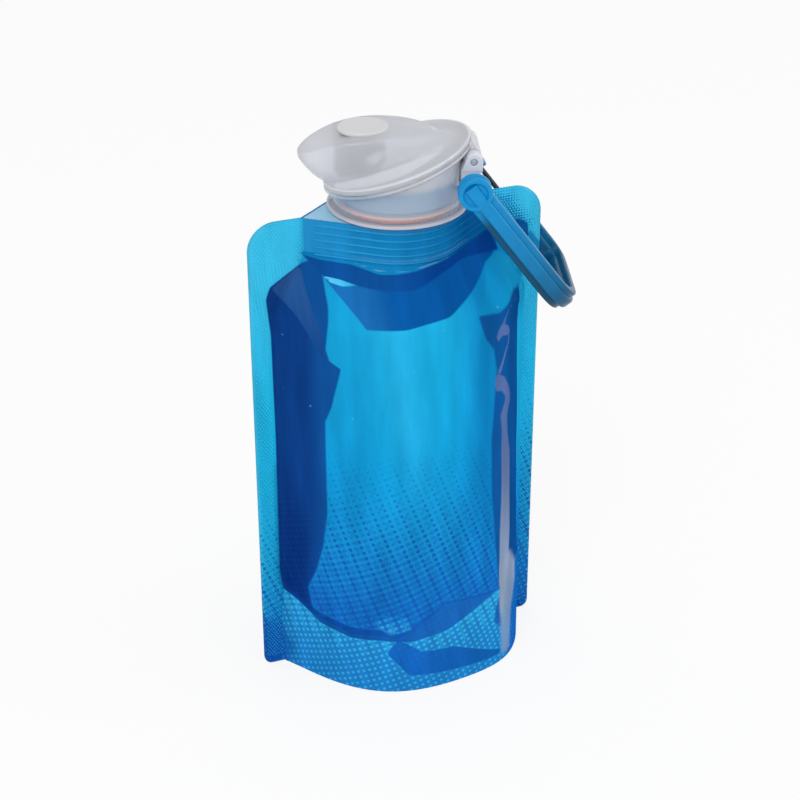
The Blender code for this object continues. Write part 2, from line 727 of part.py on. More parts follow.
def loop_path():
    """Middle line of the frame from its near head, round the end, to the slimmer nose."""
    half = LOOP_WIDTH / 2
    end = LOOP_LENGTH - FRAME_WIDTH / 2
    path = [(-half, 0.7, -1.0, 0.0, 0.0)]
    for degrees in range(180, 89, -15):
        angle = math.radians(degrees)
        path.append((-half + NEAR_CORNER * (1 + math.cos(angle)), end - NEAR_CORNER * (1 - math.sin(angle)),
                     math.cos(angle), math.sin(angle), 0.0))
    for degrees in range(90, -1, -18):
        angle = math.radians(degrees)
        path.append((half - FAR_CORNER * (1 - math.cos(angle)), end - FAR_CORNER * (1 - math.sin(angle)),
                     math.cos(angle), math.sin(angle), 0.6 - degrees / 150))
    path.append((half, end - FAR_CORNER - 6.0, 1.0, 0.0, 1.0))
    path.append((half, NOSE_START, 1.0, 0.0, 1.0))
    return path


def carabiner_frame(swing, material):
    half = LOOP_WIDTH / 2
    arm = FRAME_WIDTH / 2
    frame = make_piece("carabiner_frame", *loft([frame_section(point) for point in loop_path()]),
                       parent=swing, material=material)
    near_head = cross_cylinder(HEAD_RADIUS, -half - arm + 0.4, -half + arm + 0.3, (0, 0), 28)
    shape_with(frame, "near_head", near_head, "UNION")
    far_head = cross_cylinder(FAR_HEAD_RADIUS, half - arm - 0.3, half + arm - 0.6, (0, 0), 28)
    shape_with(frame, "far_head", far_head, "UNION")
    cheek = FORK_THICKNESS / 2
    stub_end = GATE_PIVOT + 2.6
    stub = block((-cheek, half - arm, -stub_end), (cheek, half + arm - 0.2, 0.3))
    shape_with(frame, "gate_stub", stub, "UNION")
    shape_with(frame, "cross_bar", cross_cylinder(BAR_RADIUS, -half, half, (0, 0)), "UNION")
    slot = WIRE_RADIUS + SEAT_GAP
    eye_room = EYE_RADIUS + WIRE_RADIUS + SEAT_GAP
    fork = block((-slot, half - arm - 1, -stub_end - 1), (slot, half + arm + 1, -GATE_PIVOT + eye_room))
    shape_with(frame, "gate_fork", fork, "DIFFERENCE")
    rivet_hole = along_x_cylinder(RIVET_RADIUS + SEAT_GAP, -cheek - 1, cheek + 1, (half, -GATE_PIVOT), 16)
    shape_with(frame, "rivet_hole", rivet_hole, "DIFFERENCE")
    stop = half + WIRE_RADIUS + SEAT_GAP
    leg_slot = block((-slot, half - arm - 1, -GATE_END), (slot, stop, -NOSE_START + 1))
    shape_with(frame, "nose_slot", leg_slot, "DIFFERENCE")
    room = GATE_BALL + SEAT_GAP
    pocket = block((-room, half - arm - 1, -GATE_END - room), (room, half + room, -GATE_END + room))
    shape_with(frame, "nose_pocket", pocket, "DIFFERENCE")
    return frame


def gate_wire(swing, material):
    """A wire with an eye round the rivet and a ball that drops into the nose."""
    half = LOOP_WIDTH / 2
    origin = (0.0, half, -GATE_PIVOT)
    eye = []
    for k in range(16):
        turn = 2 * math.pi * k / 16
        ring = []
        for j in range(8):
            roll = 2 * math.pi * j / 8
            reach = EYE_RADIUS + WIRE_RADIUS * math.cos(roll)
            ring.append((WIRE_RADIUS * math.sin(roll), half + reach * math.sin(turn),
                         -GATE_PIVOT + reach * math.cos(turn)))
        eye.append(ring)
    gate = make_piece("gate_wire", *loft(eye, "join"), parent=swing, origin=origin, material=material)
    leg = turned([(WIRE_RADIUS, -GATE_END), (WIRE_RADIUS, -GATE_PIVOT - EYE_RADIUS)], (0.0, half), 10)
    shape_with(gate, "gate_leg", leg, "UNION")
    ball = turned([(GATE_BALL * math.cos(a), -GATE_END + GATE_BALL * math.sin(a))
                   for a in (math.radians(d) for d in (-75, -40, 0, 40, 75))], (0.0, half), 12)
    shape_with(gate, "gate_ball", ball, "UNION")
    return gate


def gate_rivet(swing, material):
    half = LOOP_WIDTH / 2
    length = FORK_THICKNESS / 2 - SEAT_GAP
    geometry = along_x_cylinder(RIVET_RADIUS, -length, length, (half, -GATE_PIVOT), 16)
    return make_piece("gate_rivet", *geometry, parent=swing, origin=(0.0, half, -GATE_PIVOT), material=material)


def main():
    clear_scene()
    film = make_material("film", (0.02, 0.42, 0.80), 0.18, alpha=0.75)
    film_back = make_material("film_back", (0.02, 0.38, 0.78), 0.18, alpha=0.75)
    film_base = make_material("film_base", (0.02, 0.36, 0.74), 0.2, alpha=0.75)
    frosted = make_material("frosted_fitment", (0.82, 0.86, 0.90), 0.35, alpha=0.6)
    frosted_cap = make_material("frosted_cap", (0.84, 0.85, 0.89), 0.35, alpha=0.55)
    frosted_lid = make_material("frosted_lid", (0.86, 0.87, 0.91), 0.35, alpha=0.55)
    mouth = make_material("mouthpiece_plastic", (0.62, 0.68, 0.72), 0.35)
    disc = make_material("disc_plastic", (0.86, 0.86, 0.89), 0.4)
    plug = make_material("plug_silicone", (0.50, 0.60, 0.64), 0.5)
    silicone = make_material("orange_silicone", (0.85, 0.25, 0.12), 0.5)
    blue = make_material("blue_plastic", (0.02, 0.30, 0.68), 0.28)
    steel = make_material("hinge_steel", (0.70, 0.71, 0.73), 0.3, 1.0)
    rivet = make_material("rivet_steel", (0.60, 0.61, 0.63), 0.3, 1.0)
    wire = make_material("black_wire", (0.03, 0.04, 0.05), 0.35, 0.6)

    film_panel("front_panel", -1, film)
    film_panel("back_panel", 1, film_back)
    base_gusset(film_base)
    spout_fitment(frosted)
    neck_gasket(silicone)

    cap = make_frame("cap_frame", (0, 0, 0), (0, 0, math.radians(CAP_YAW)))
    cap_body(cap, frosted_cap)
    mouthpiece(cap, mouth)
    flip_lid(cap, frosted_lid)
    lid_disc(cap, disc)
    lid_plug(cap, plug)
    hinge_pin(cap, steel)

    swing = make_frame("carabiner_axis", (BAR_X, LOOP_SHIFT, BAR_Z), (0, -math.radians(HANG_ANGLE), 0), cap)
    carabiner_frame(swing, blue)
    gate_wire(swing, wire)
    gate_rivet(swing, rivet)
    bpy.context.view_layer.update()


main()
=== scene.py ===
"""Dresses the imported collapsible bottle: film pouch, frosted cap and lid, carabiner and stage."""

import math

import bmesh
import bpy
import numpy as np
from mathutils import Matrix, Vector


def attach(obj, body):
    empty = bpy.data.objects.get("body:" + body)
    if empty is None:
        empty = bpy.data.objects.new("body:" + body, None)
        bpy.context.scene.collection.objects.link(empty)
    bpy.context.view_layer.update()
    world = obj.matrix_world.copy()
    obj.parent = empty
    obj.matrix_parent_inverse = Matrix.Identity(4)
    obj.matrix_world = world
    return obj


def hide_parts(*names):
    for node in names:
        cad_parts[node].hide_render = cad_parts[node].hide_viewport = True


bl_info = {
    "name": "Collapsible Bottle Dressing",
    "version": (1, 0, 0),
    "blender": (4, 5, 0),
    "location": "3D View > Sidebar > Bottle",
    "description": "Builds the films, plastics and stage of a collapsible bottle round its model",
    "category": "Object",
}

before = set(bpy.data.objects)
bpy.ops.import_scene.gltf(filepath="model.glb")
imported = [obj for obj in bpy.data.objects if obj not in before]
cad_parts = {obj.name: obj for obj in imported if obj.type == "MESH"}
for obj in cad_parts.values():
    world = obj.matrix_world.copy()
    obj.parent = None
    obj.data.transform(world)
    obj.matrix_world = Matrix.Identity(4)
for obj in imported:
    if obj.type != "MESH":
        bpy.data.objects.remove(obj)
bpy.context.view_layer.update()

MM = 0.001

# Sizes of the model, in millimetres, as its source gives them
POUCH_WIDTH = 90.0
POUCH_HEIGHT = 148.5
FILM = 0.45
FILM_START = 0.05
SIDE_SEAL = 6.5
SEAL_MARGIN = 0.9
EAR_RADIUS = 8.5
FOOT_RADIUS = 2.5
BASE_DEPTH = 30.1
SHOULDER_DEPTH = 25.6
SHOULDER_Z = 120.0
FRONT_SKEW = 0.42
BOAT_RADIUS = 17.9
BOAT_HALF_LENGTH = 28.3
BOAT_BOTTOM = 137.5
WELD_START = 136.9
SEAT_GAP = 0.3
BOAT_TANGENT = math.acos(BOAT_RADIUS / BOAT_HALF_LENGTH)
CHAMBER_HALF = POUCH_WIDTH / 2 - SIDE_SEAL
GUSSET_SEAL_MIDDLE = 11.0
GUSSET_SEAL_CORNER = 27.0
CAP_YAW = math.radians(-18.0)

# Lid and carabiner of the model
CAP_RADIUS = 18.5
RIM_Z = 161.9
RIM_SLOPE = 0.32
RIM_CENTRE_X = -0.7
RIM_SHIFT = 0.5
RIM_HALF_LENGTH = 20.8
RIM_HALF_WIDTH = 21.7
LID_WALL = 1.6
LID_CEILING = 1.8
LID_PEAK_X = -4.0
LID_PEAK_Z = 171.9
BEAK_TIP_X = -28.5
BEAK_DROP = 6.7
BEAK_POWER = 2.3
PLATE_HALF_WIDTH = 10.8
LEDGE_HEIGHT = 4.7
RIM_STEP = 1.5
BACK_LIFT = 0.25
MOUTH_X = -9.5
DISC_RADIUS = 7.3
PIN_X = 20.8
PIN_Z = 164.2
KNUCKLE_RADIUS = 2.6
KNUCKLE_HALF = 6.1
PIN_BORE = 1.2
EAR_BORE = 1.0
BAR_X = 20.5
BAR_Z = 158.6
BAR_RADIUS = 1.7
BAR_BORE = 2.0
CLIP_WALL = 1.3
CLIP_HALF = 10.0
CLIP_MOUTH = 1.5
EAR_INNER = 6.5
MOUTH_RADIUS = 6.4
DECK_RADIUS = 20.9
DECK_THICKNESS = 1.4
CAP_WALL = 1.5
CAP_FLOOR_TOP = 152.2
CAP_SEAT_Z = 150.7
CAP_SKIRT_Z = 148.9
SKIRT_LIP = 2.1
LIP_RADIUS = 20.2
CAP_BORE_RADIUS = 10.0
THREAD_CORE_RADIUS = 11.7
PLUG_TUBE_END = 139.5
HANG_ANGLE = math.radians(37.0)
LOOP_WIDTH = 35.0
LOOP_SHIFT = -0.5
LOOP_LENGTH = 47.0
NEAR_CORNER = 9.0
FAR_CORNER = 4.6
FRAME_WIDTH = 5.0
FRAME_THICKNESS = 7.4
CORE_THICKNESS = 4.0
CORE_ROUNDING = 1.1
LIP_WIDTH = 2.6
LIP_ROUNDING = 0.6
FAR_ARM_SCALE = 0.66
HEAD_RADIUS = 4.8
FAR_HEAD_RADIUS = 2.2
FORK_THICKNESS = 5.4
NOSE_START = 28.0
WIRE_RADIUS = 0.75
GATE_PIVOT = 5.2

# Faces round or along each mesh
FILM_COLUMNS = 132
FILM_SEAL_COLUMNS = 9
FILM_ROWS = 178
WELD_ROWS = 9
EAR_ROWS = 24
BASE_COLUMNS = 192
LID_COLUMNS = 160
CAP_COLUMNS = 144
TURNED_COLUMNS = 96
BAR_COLUMNS = 64
RIB_STEPS = 96
CLIP_STEPS = 73

# Distance kept where nothing is painted
UNPAINTED = 9.0

# Seeds of the film's slow waves, of which each side takes its own
DENT_SEED = 3
FINE_DENT_SEED = 9
TONE_SEED = 21

# Second printed grid: its pitch and strength as shares of the first's
SECOND_GRID_PITCH = 1.5
SECOND_GRID_SHARE = 0.35

# Share of the film that the print covers, at each height in millimetres
PRINT_LEVELS = [0, 8, 14, 24, 45, 62, 76, 86]
PRINT_SHARES = [0.70, 0.67, 0.62, 0.55, 0.48, 0.36, 0.2, 0.0]
LEFT_SEAL_LEVELS = [0, 20, 50, 66]
LEFT_SEAL_SHARES = [0.72, 0.55, 0.3, 0.0]
RIGHT_SEAL_LEVELS = [0, 20, 60, 90]
RIGHT_SEAL_SHARES = [0.74, 0.6, 0.42, 0.0]

# Fine speckle that breaks up the edge of a fold, in millimetres
SPECKLE_PITCH = 0.85
SPECKLE_REACH = 1.3

# Small drops inside the film: cells to a millimetre, share of cells left empty, heights between which
# they set in, and strength
DROP_CELLS = 0.22
DROP_RARITY = 0.8
DROP_LOW = 84.0
DROP_HIGH = 96.0
DROP_STRENGTH = 0.6

# Raised points of the seals, in metres
POINT_RADIUS = 0.0003
POINT_HEIGHT = 0.0001

# Stage, in metres
FLOOR_SIZE = 6.0
FLOOR_GLOW = 0.84
KEY_PLACE = (-0.55, -0.75, 1.05)
KEY_SIZE = 0.7
SIDE_PLACE = (1.0, -0.35, 0.55)
SIDE_SIZE = 0.5
SIDE_SHARE = 0.35
LIGHT_AIM = (0.0, 0.0, 0.08)

# Place of the camera
VIEW_AZIMUTH = math.radians(-21.086)
VIEW_ELEVATION = math.radians(28.207)
VIEW_ROLL = math.radians(-0.121)
VIEW_DISTANCE = 0.5711
VIEW_TARGET = (0.00067, 0.0, 0.0849)
VIEW_LENS = 85.42
SENSOR_WIDTH = 36.0


# Colours

def srgb(red, green, blue):
    """A colour on the usual 0 to 255 scale as the linear values that a shader takes."""
    shares = [value / 255 for value in (red, green, blue)]
    return tuple(s / 12.92 if s <= 0.04045 else ((s + 0.055) / 1.055) ** 2.4 for s in shares)


SIDE_SHADE_BLUE = srgb(14, 126, 190)
PAINTED_LIGHT_BLUE = srgb(44, 176, 226)
DROP_BLUE = srgb(90, 180, 226)
FILM_EDGE_BLUE = srgb(90, 200, 236)
WELD_HIGHLIGHT_BLUE = srgb(110, 160, 206)
SEAL_POINT_LOW = srgb(24, 150, 214)
SEAL_POINT_HIGH = srgb(56, 206, 248)
RIB_LEFT = srgb(46, 152, 210)
RIB_RIGHT = srgb(18, 108, 172)
SPOUT_BLUE = srgb(160, 212, 240)
CAP_WATER_LIGHT_BLUE = srgb(136, 182, 220)
CAP_FOOT_GREY = srgb(206, 200, 208)
MOUTHPIECE_GREY = srgb(150, 164, 172)
DISC_GREY = srgb(224, 224, 226)
PIN_STEEL = srgb(232, 233, 236)
RIVET_STEEL = srgb(180, 182, 188)
FLOOR_LOW = (0.93, 0.93, 0.93)
FLOOR_HIGH = (0.96, 0.96, 0.96)

# Tones of the film, its weld, its seals and the base film, as (millimetres, colour)
FILM_STOPS = [(0, srgb(24, 130, 204)), (28, srgb(24, 122, 196)), (50, srgb(24, 146, 208)),
              (75, srgb(20, 158, 216)), (100, srgb(24, 166, 218)), (122, srgb(28, 170, 220))]
WELD_STOPS = [(-28, srgb(40, 150, 210)), (-12, srgb(22, 134, 194)), (6, srgb(18, 126, 188)),
              (17, srgb(8, 92, 154)), (28, srgb(10, 100, 164))]
SEAL_STOPS = [(0, srgb(20, 130, 204)), (30, srgb(26, 178, 228)), (90, srgb(30, 192, 236)),
              (130, srgb(64, 204, 246))]
BASE_STOPS = [(0, srgb(20, 120, 190)), (25, srgb(12, 98, 174)), (40, srgb(20, 120, 196))]


# Small numpy helpers

def smooth(value):
    """0 below 0, 1 above 1 and a soft rise between."""
    value = np.clip(value, 0.0, 1.0)
    return value * value * (3 - 2 * value)


def mix(under, over, share):
    """One colour laid over another by a share for each point."""
    share = np.asarray(share)[..., None]
    return under * (1 - share) + np.asarray(over) * share


def ramp(value, stops):
    """A colour for each value, from (value, colour) stops."""
    places = [stop[0] for stop in stops]
    channels = [np.interp(value, places, [stop[1][k] for stop in stops]) for k in range(3)]
    return np.stack(channels, axis=-1)


def segment_distance(x, z, first, last):
    """Distance to the straight line between two places, and how far along it the nearest spot is."""
    ax, az, dx, dz = first[0], first[1], last[0] - first[0], last[1] - first[1]
    share = np.clip(((x - ax) * dx + (z - az) * dz) / (dx * dx + dz * dz), 0, 1)
    return np.hypot(x - ax - share * dx, z - az - share * dz), share


def outline_distance(points, x, z):
    """Distance to a closed outline of (x, z) corners, negative inside it."""
    best = np.full(x.shape, 1e9)
    inside = np.zeros(x.shape, bool)
    for (ax, az), (bx, bz) in zip(points, points[1:] + points[:1]):
        best = np.minimum(best, segment_distance(x, z, (ax, az), (bx, bz))[0])
        inside ^= ((az > z) != (bz > z)) & (x < (bx - ax) * (z - az) / ((bz - az) or 1e-9) + ax)
    return np.where(inside, -best, best)


def cover(points, x, z, soft):
    """1 inside an outline and 0 outside it, with an edge that is soft millimetres wide."""
    return smooth(0.5 - outline_distance(points, x, z) / soft)


def line_distance(points, x, z):
    """Distance to an open line of (x, z) points."""
    return np.min([segment_distance(x, z, *ends)[0] for ends in zip(points, points[1:])], axis=0)


def fold_distance(points, x, z):
    """Distance to an outline of (x, z), or a line of (x, z, half width); negative inside."""
    if len(points[0]) == 2:
        return outline_distance(points, x, z)
    best = np.full(x.shape, 1e9)
    for first, last in zip(points, points[1:]):
        away, share = segment_distance(x, z, first, last)
        best = np.minimum(best, away - first[2] - share * (last[2] - first[2]))
    return best


def ripple(x, z, seed, wave):
    """Slow waves without a visible repeat, from -1 to 1."""
    chance = np.random.default_rng(seed)
    total = np.zeros(x.shape)
    for _ in range(6):
        turn = chance.uniform(0, 2 * math.pi)
        length = wave * chance.uniform(0.6, 1.6)
        phase = chance.uniform(0, 2 * math.pi)
        total += np.sin((x * math.cos(turn) + z * math.sin(turn)) * 2 * math.pi / length + phase)
    return total / 3.5


# Mesh helpers

def piece_from(name, vertices, faces, material):
    """A smoothly shaded mesh object at the origin, from points in metres."""
    mesh = bpy.data.meshes.new(name)
    mesh.from_pydata([tuple(v) for v in vertices], [], faces)
    mesh.materials.append(material)
    mesh.shade_smooth()
    piece = bpy.data.objects.new(name, mesh)
    bpy.context.scene.collection.objects.link(piece)
    return piece


def turn_outwards(piece):
    """Turns the faces of a closed piece outwards."""
    shape = bmesh.new()
    shape.from_mesh(piece.data)
    bmesh.ops.recalc_face_normals(shape, faces=shape.faces)
    shape.to_mesh(piece.data)
    shape.free()


def evaluated_mesh(piece, name):
    """A plain mesh of a piece with its modifiers applied."""
    graph = bpy.context.evaluated_depsgraph_get()
    mesh = bpy.data.meshes.new_from_object(piece.evaluated_get(graph))
    mesh.name = name
    return mesh


# Material helpers

def new_material(name):
    """A new material, its node tree and its shader."""
    material = bpy.data.materials.new(name)
    material.use_nodes = True
    return material, material.node_tree, material.node_tree.nodes["Principled BSDF"]


def node(tree, kind, values=None, **settings):
    """A shader node with its settings and its unlinked inputs."""
    made = tree.nodes.new(kind)
    for key, value in settings.items():
        setattr(made, key, value)
    for key, value in (values or {}).items():
        made.inputs[key].default_value = value
    return made


def math_node(tree, operation, first, second=None, clamp=False):
    """The result of a Math node on sockets or numbers."""
    made = node(tree, "ShaderNodeMath", operation=operation, use_clamp=clamp)
    for k, value in enumerate((first, second)):
        if isinstance(value, bpy.types.NodeSocket):
            tree.links.new(value, made.inputs[k])
        elif value is not None:
            made.inputs[k].default_value = value
    return made.outputs[0]


def mix_colour(tree, share, under, over):
    """One colour laid over another, each a socket or a value."""
    made = node(tree, "ShaderNodeMix", data_type="RGBA")
    for socket, value in ((made.inputs[0], share), (made.inputs[6], under), (made.inputs[7], over)):
        if isinstance(value, bpy.types.NodeSocket):
            tree.links.new(value, socket)
        else:
            socket.default_value = value if isinstance(value, float) else (*value[:3], 1.0)
    return made.outputs[2]


def mapped(tree, vector, values):
    """A vector through a Mapping node."""
    made = node(tree, "ShaderNodeMapping", values)
    tree.links.new(vector, made.inputs["Vector"])
    return made.outputs[0]


def object_place(tree, scale=(1.0, 1.0, 1.0), location=(0.0, 0.0, 0.0), rotation=(0.0, 0.0, 0.0)):
    """Object coordinates through a Mapping node."""
    place = node(tree, "ShaderNodeTexCoord").outputs["Object"]
    return mapped(tree, place, {"Scale": scale, "Location": location, "Rotation": rotation})


def parts_of(tree, vector):
    """The X, Y and Z of a vector."""
    made = node(tree, "ShaderNodeSeparateXYZ")
    tree.links.new(vector, made.inputs[0])
    return made.outputs


def kept_value(tree, key):
    """The node that reads a value kept on the vertices."""
    return node(tree, "ShaderNodeAttribute", attribute_name=key)


def scaled(tree, colour, factor):
    """A colour times a factor, each a socket or a value."""
    made = node(tree, "ShaderNodeVectorMath", operation="SCALE")
    for key, value in ((0, colour), ("Scale", factor)):
        if isinstance(value, bpy.types.NodeSocket):
            tree.links.new(value, made.inputs[key])
        else:
            made.inputs[key].default_value = value
    return made.outputs[0]


def noise(tree, vector, scale, detail=3.0):
    """The height of a noise at a vector."""
    made = node(tree, "ShaderNodeTexNoise", {"Scale": scale, "Detail": detail})
    tree.links.new(vector, made.inputs["Vector"])
    return made.outputs[0]


def map_range(tree, value, low, high, to_low=0.0, to_high=1.0, smoothly=False):
    """A value carried from one span to another and held at its ends."""
    made = node(tree, "ShaderNodeMapRange",
                {"From Min": low, "From Max": high, "To Min": to_low, "To Max": to_high})
    if smoothly:
        made.interpolation_type = "SMOOTHSTEP"
    tree.links.new(value, made.inputs["Value"])
    return made.outputs[0]


def bump(tree, shader, height, strength, distance):
    """Fine relief from a height, on the shader's normal."""
    made = node(tree, "ShaderNodeBump", {"Strength": strength, "Distance": distance})
    tree.links.new(height, made.inputs["Height"])
    tree.links.new(made.outputs[0], shader.inputs["Normal"])


# Settings

class PouchSettings(bpy.types.PropertyGroup):
    halftone_pitch: bpy.props.FloatProperty(
        name="Halftone pitch", description="Distance between the printed dots",
        default=0.0019, unit="LENGTH")
    halftone_angle: bpy.props.FloatProperty(
        name="Halftone angle", description="Turn of the printed grid",
        default=math.radians(-21), subtype="ANGLE")
    print_colour: bpy.props.FloatVectorProperty(
        name="Print colour", description="Colour of the printed dots",
        default=srgb(20, 84, 180), subtype="COLOR")
    print_strength: bpy.props.FloatProperty(
        name="Print strength", description="How far one printed grid covers the film", default=0.8,
        subtype="FACTOR")
    film_roughness: bpy.props.FloatProperty(
        name="Film roughness", description="Roughness of the film's gloss", default=0.2, subtype="FACTOR")
    rib_count: bpy.props.IntProperty(
        name="Weld ribs", description="Ribs pressed into the film at the spout", default=5)
    rib_radius: bpy.props.FloatProperty(
        name="Rib radius", description="Half the height of one pressed rib", default=0.00026, unit="LENGTH")
    knurl_pitch: bpy.props.FloatProperty(
        name="Seal pattern pitch", description="Distance between the points pressed into a seal",
        default=0.00098, unit="LENGTH")


class CapSettings(bpy.types.PropertyGroup):
    plastic: bpy.props.FloatVectorProperty(
        name="Frosted plastic", description="Colour of the cap and lid",
        default=srgb(238, 240, 247), subtype="COLOR")
    gasket: bpy.props.FloatVectorProperty(
        name="Gasket", description="Colour of the sealing ring", default=srgb(238, 84, 44), subtype="COLOR")
    plug: bpy.props.FloatVectorProperty(
        name="Plug", description="Colour of the soft plug under the lid",
        default=srgb(96, 114, 122), subtype="COLOR")


class CarabinerSettings(bpy.types.PropertyGroup):
    plastic: bpy.props.FloatVectorProperty(
        name="Carabiner", description="Colour of the moulded loop",
        default=srgb(4, 134, 194), subtype="COLOR")
    wire: bpy.props.FloatVectorProperty(
        name="Wire", description="Colour of the coated gate wire", default=srgb(40, 46, 52), subtype="COLOR")


class StageSettings(bpy.types.PropertyGroup):
    world_level: bpy.props.FloatProperty(
        name="Surround", description="Strength of the light from all round", default=0.72)
    key_power: bpy.props.FloatProperty(
        name="Key light", description="Power of the large soft light", default=5.0, unit="POWER")


# Film pouch

def boat_outline_y(x, offset):
    """Half depth of the spout's boat shape at each x, grown by an offset."""
    radius = BOAT_RADIUS + offset
    tangent_x = radius * math.cos(BOAT_TANGENT)
    tip_x = radius / math.cos(BOAT_TANGENT)
    round_part = np.sqrt(np.maximum(radius * radius - x * x, 0.0))
    wing = np.maximum(0.0, (tip_x - np.abs(x)) / math.tan(BOAT_TANGENT))
    return np.where(np.abs(x) < tangent_x, round_part, wing)


def chamber(z):
    """Half width, depth and share of the spout's outline at height z."""
    neck_half = (BOAT_RADIUS + SEAT_GAP) / math.cos(BOAT_TANGENT)
    raw = np.clip((z - SHOULDER_Z) / (BOAT_BOTTOM - SHOULDER_Z), 0, 1)
    half_width = CHAMBER_HALF + (neck_half - CHAMBER_HALF) * raw
    depth = BASE_DEPTH + (SHOULDER_DEPTH - BASE_DEPTH) * np.minimum(1.0, z / SHOULDER_Z)
    return half_width, depth, smooth(raw)


def front_swell(across):
    """How much further than the back the front stands out at each share of the half width."""
    return 1.0 + FRONT_SKEW * (across ** 3 - across ** 6)


def panel_edge(z):
    """Half width of a film at each height, with its rounded ears and feet."""
    half = POUCH_WIDTH / 2
    ear_start = POUCH_HEIGHT - EAR_RADIUS
    top = half - EAR_RADIUS + np.sqrt(np.maximum(0, EAR_RADIUS ** 2 - np.maximum(0, z - ear_start) ** 2))
    foot = half - FOOT_RADIUS + np.sqrt(np.maximum(0, FOOT_RADIUS ** 2 - np.maximum(0, FOOT_RADIUS - z) ** 2))
    return np.minimum(top, foot)


# Corners of the front film's folds, as (x, z) in millimetres; they outline its painted shade, painted light
# and painted reflection
LEFT_FACET = [(-25.6, 137.0), (-30.7, 134.3), (-39.0, 129.0), (-40.3, 125.4), (-39.2, 114.0),
              (-38.9, 80.0), (-39.2, 34.0), (-38.3, 27.0), (-34.4, 25.0), (-31.8, 22.1), (-33.0, 31.4),
              (-31.0, 39.0), (-29.4, 49.0), (-28.4, 60.0), (-28.2, 90.9), (-26.6, 96.0), (-24.2, 108.5),
              (-26.8, 110.6), (-27.6, 114.0), (-27.1, 120.1), (-25.5, 125.6), (-24.7, 132.0)]
LEFT_SHEEN = [(-30.7, 134.1), (-29.6, 133.4), (-29.3, 122.2), (-27.9, 115.4), (-28.4, 111.0),
              (-30.5, 115.8), (-33.2, 121.8), (-36.9, 126.3), (-38.3, 128.6)]
LEFT_DEEP = [(-38.6, 70.0), (-38.8, 30.0), (-34.0, 25.0), (-33.6, 36.0), (-33.0, 50.0), (-35.6, 72.0)]
LIT_SLIVER = [(-24.6, 132.2), (-21.0, 132.0), (-16.3, 131.0), (-20.7, 130.4), (-23.2, 130.9)]
NECK_BAND = [(-29.3, 137.8), (-24.9, 136.9), (-17.7, 136.7), (-11.4, 134.8), (-4.4, 135.4), (4.1, 136.7),
             (12.9, 137.2), (19.1, 137.7), (28.3, 137.2), (30.3, 130.8), (14.7, 134.1), (7.0, 133.4),
             (-2.0, 130.6), (-9.9, 130.4), (-16.4, 130.9), (-24.6, 132.2)]
VEE = [(-24.7, 132.2), (-19.0, 123.7), (-17.6, 121.3), (-6.9, 120.9), (-1.4, 121.8), (6.0, 122.6),
       (10.8, 125.0), (16.0, 127.2), (23.5, 130.6), (30.3, 131.2), (30.0, 136.0), (14.7, 135.0),
       (7.0, 134.0), (-2.0, 131.0), (-16.4, 131.0)]
RIGHT_FACET = [(23.5, 131.0), (30.3, 130.8), (36.0, 126.0), (38.4, 121.0), (30.1, 123.2), (24.5, 121.0),
               (15.3, 120.9)]
RIGHT_DARK = [(39.4, 121.5), (38.6, 114.3), (38.5, 97.4), (38.5, 67.3), (38.6, 36.0), (31.0, 32.0),
              (23.4, 27.1), (20.1, 61.4), (19.9, 80.2), (21.7, 102.4), (20.6, 109.2), (17.6, 113.7),
              (15.1, 121.3), (22.7, 120.1), (30.1, 123.2)]
# A painted reflection of a light running down the right side of the front film, in five parts
REFLECTED_STREAK_LINE = [(29.8, 121.8, 0.15), (25.9, 120.0, 0.22), (24.4, 117.4, 0.3), (24.0, 115.6, 0.7)]
REFLECTED_STREAK_SPOT = [(23.3, 116.4), (25.7, 115.4), (26.5, 113.5), (26.2, 112.2), (23.8, 112.8), (22.2, 111.2),
               (21.5, 112.7), (22.1, 114.5)]
REFLECTED_STREAK_NECK = [(26.2, 113.4, 0.3), (25.9, 110.1, 0.25), (24.9, 107.7, 0.35), (23.9, 104.6, 0.4),
               (22.6, 101.4, 0.6)]
REFLECTED_STREAK = [(21.9, 101.3), (24.4, 99.5), (25.8, 96.9), (26.6, 94.7), (27.1, 92.8), (27.1, 90.4),
          (25.8, 86.2), (26.1, 81.1), (27.2, 73.8), (27.6, 56.7), (27.8, 46.0), (27.2, 36.0),
          (25.8, 22.0), (25.0, 14.0), (23.9, 20.0), (23.4, 33.0), (23.5, 47.6), (23.7, 58.9),
          (23.5, 75.7), (23.6, 82.3), (23.1, 87.3), (24.8, 91.5), (24.9, 92.9), (23.6, 95.2),
          (21.7, 95.6), (21.0, 97.6), (21.3, 99.9)]
REFLECTED_STREAK_FOOT = [(26.0, 40.0), (28.4, 38.0), (31.6, 32.0), (31.6, 25.0), (29.4, 16.0), (29.0, 2.0),
               (25.0, 2.0), (24.2, 14.0), (24.0, 30.0)]
FLANGE_FACE = [(33.0, 122.5), (30.8, 119.0), (30.3, 114.0), (30.6, 101.0), (31.1, 88.0), (31.0, 75.0),
               (31.4, 60.0), (31.9, 46.0), (33.0, 36.0), (36.0, 30.0), (39.4, 27.0), (39.4, 122.5)]
# Painted shade on the right ear beside the carabiner's arm: a dark patch, a mid patch and dots
EAR_DARK = [(38.4, 138.4), (41.0, 136.3), (41.3, 132.7), (40.5, 129.0), (36.0, 130.0), (34.0, 136.0),
            (36.0, 137.8)]
EAR_MID = [(41.2, 135.0), (44.0, 131.2), (46.0, 129.0), (46.0, 123.6), (40.2, 123.6), (39.4, 128.0)]
EAR_DOTS = [(28.9, 147.2), (34.9, 146.0), (38.6, 139.8), (41.0, 137.0), (37.0, 134.0), (33.0, 138.5),
            (28.0, 144.5)]
FOOT_SHADE = [(-46.0, 15.0), (-41.5, 17.0), (-38.5, 12.0), (-36.5, 7.0), (-38.0, -2.0), (-46.0, -2.0)]
WELD_FOOT = [(-30.0, 138.6), (-29.3, 137.6), (-24.9, 136.7), (-17.7, 136.5), (-11.4, 134.6),
             (-4.4, 135.2), (4.1, 136.5), (12.9, 137.0), (30.0, 137.0), (30.0, 138.6)]
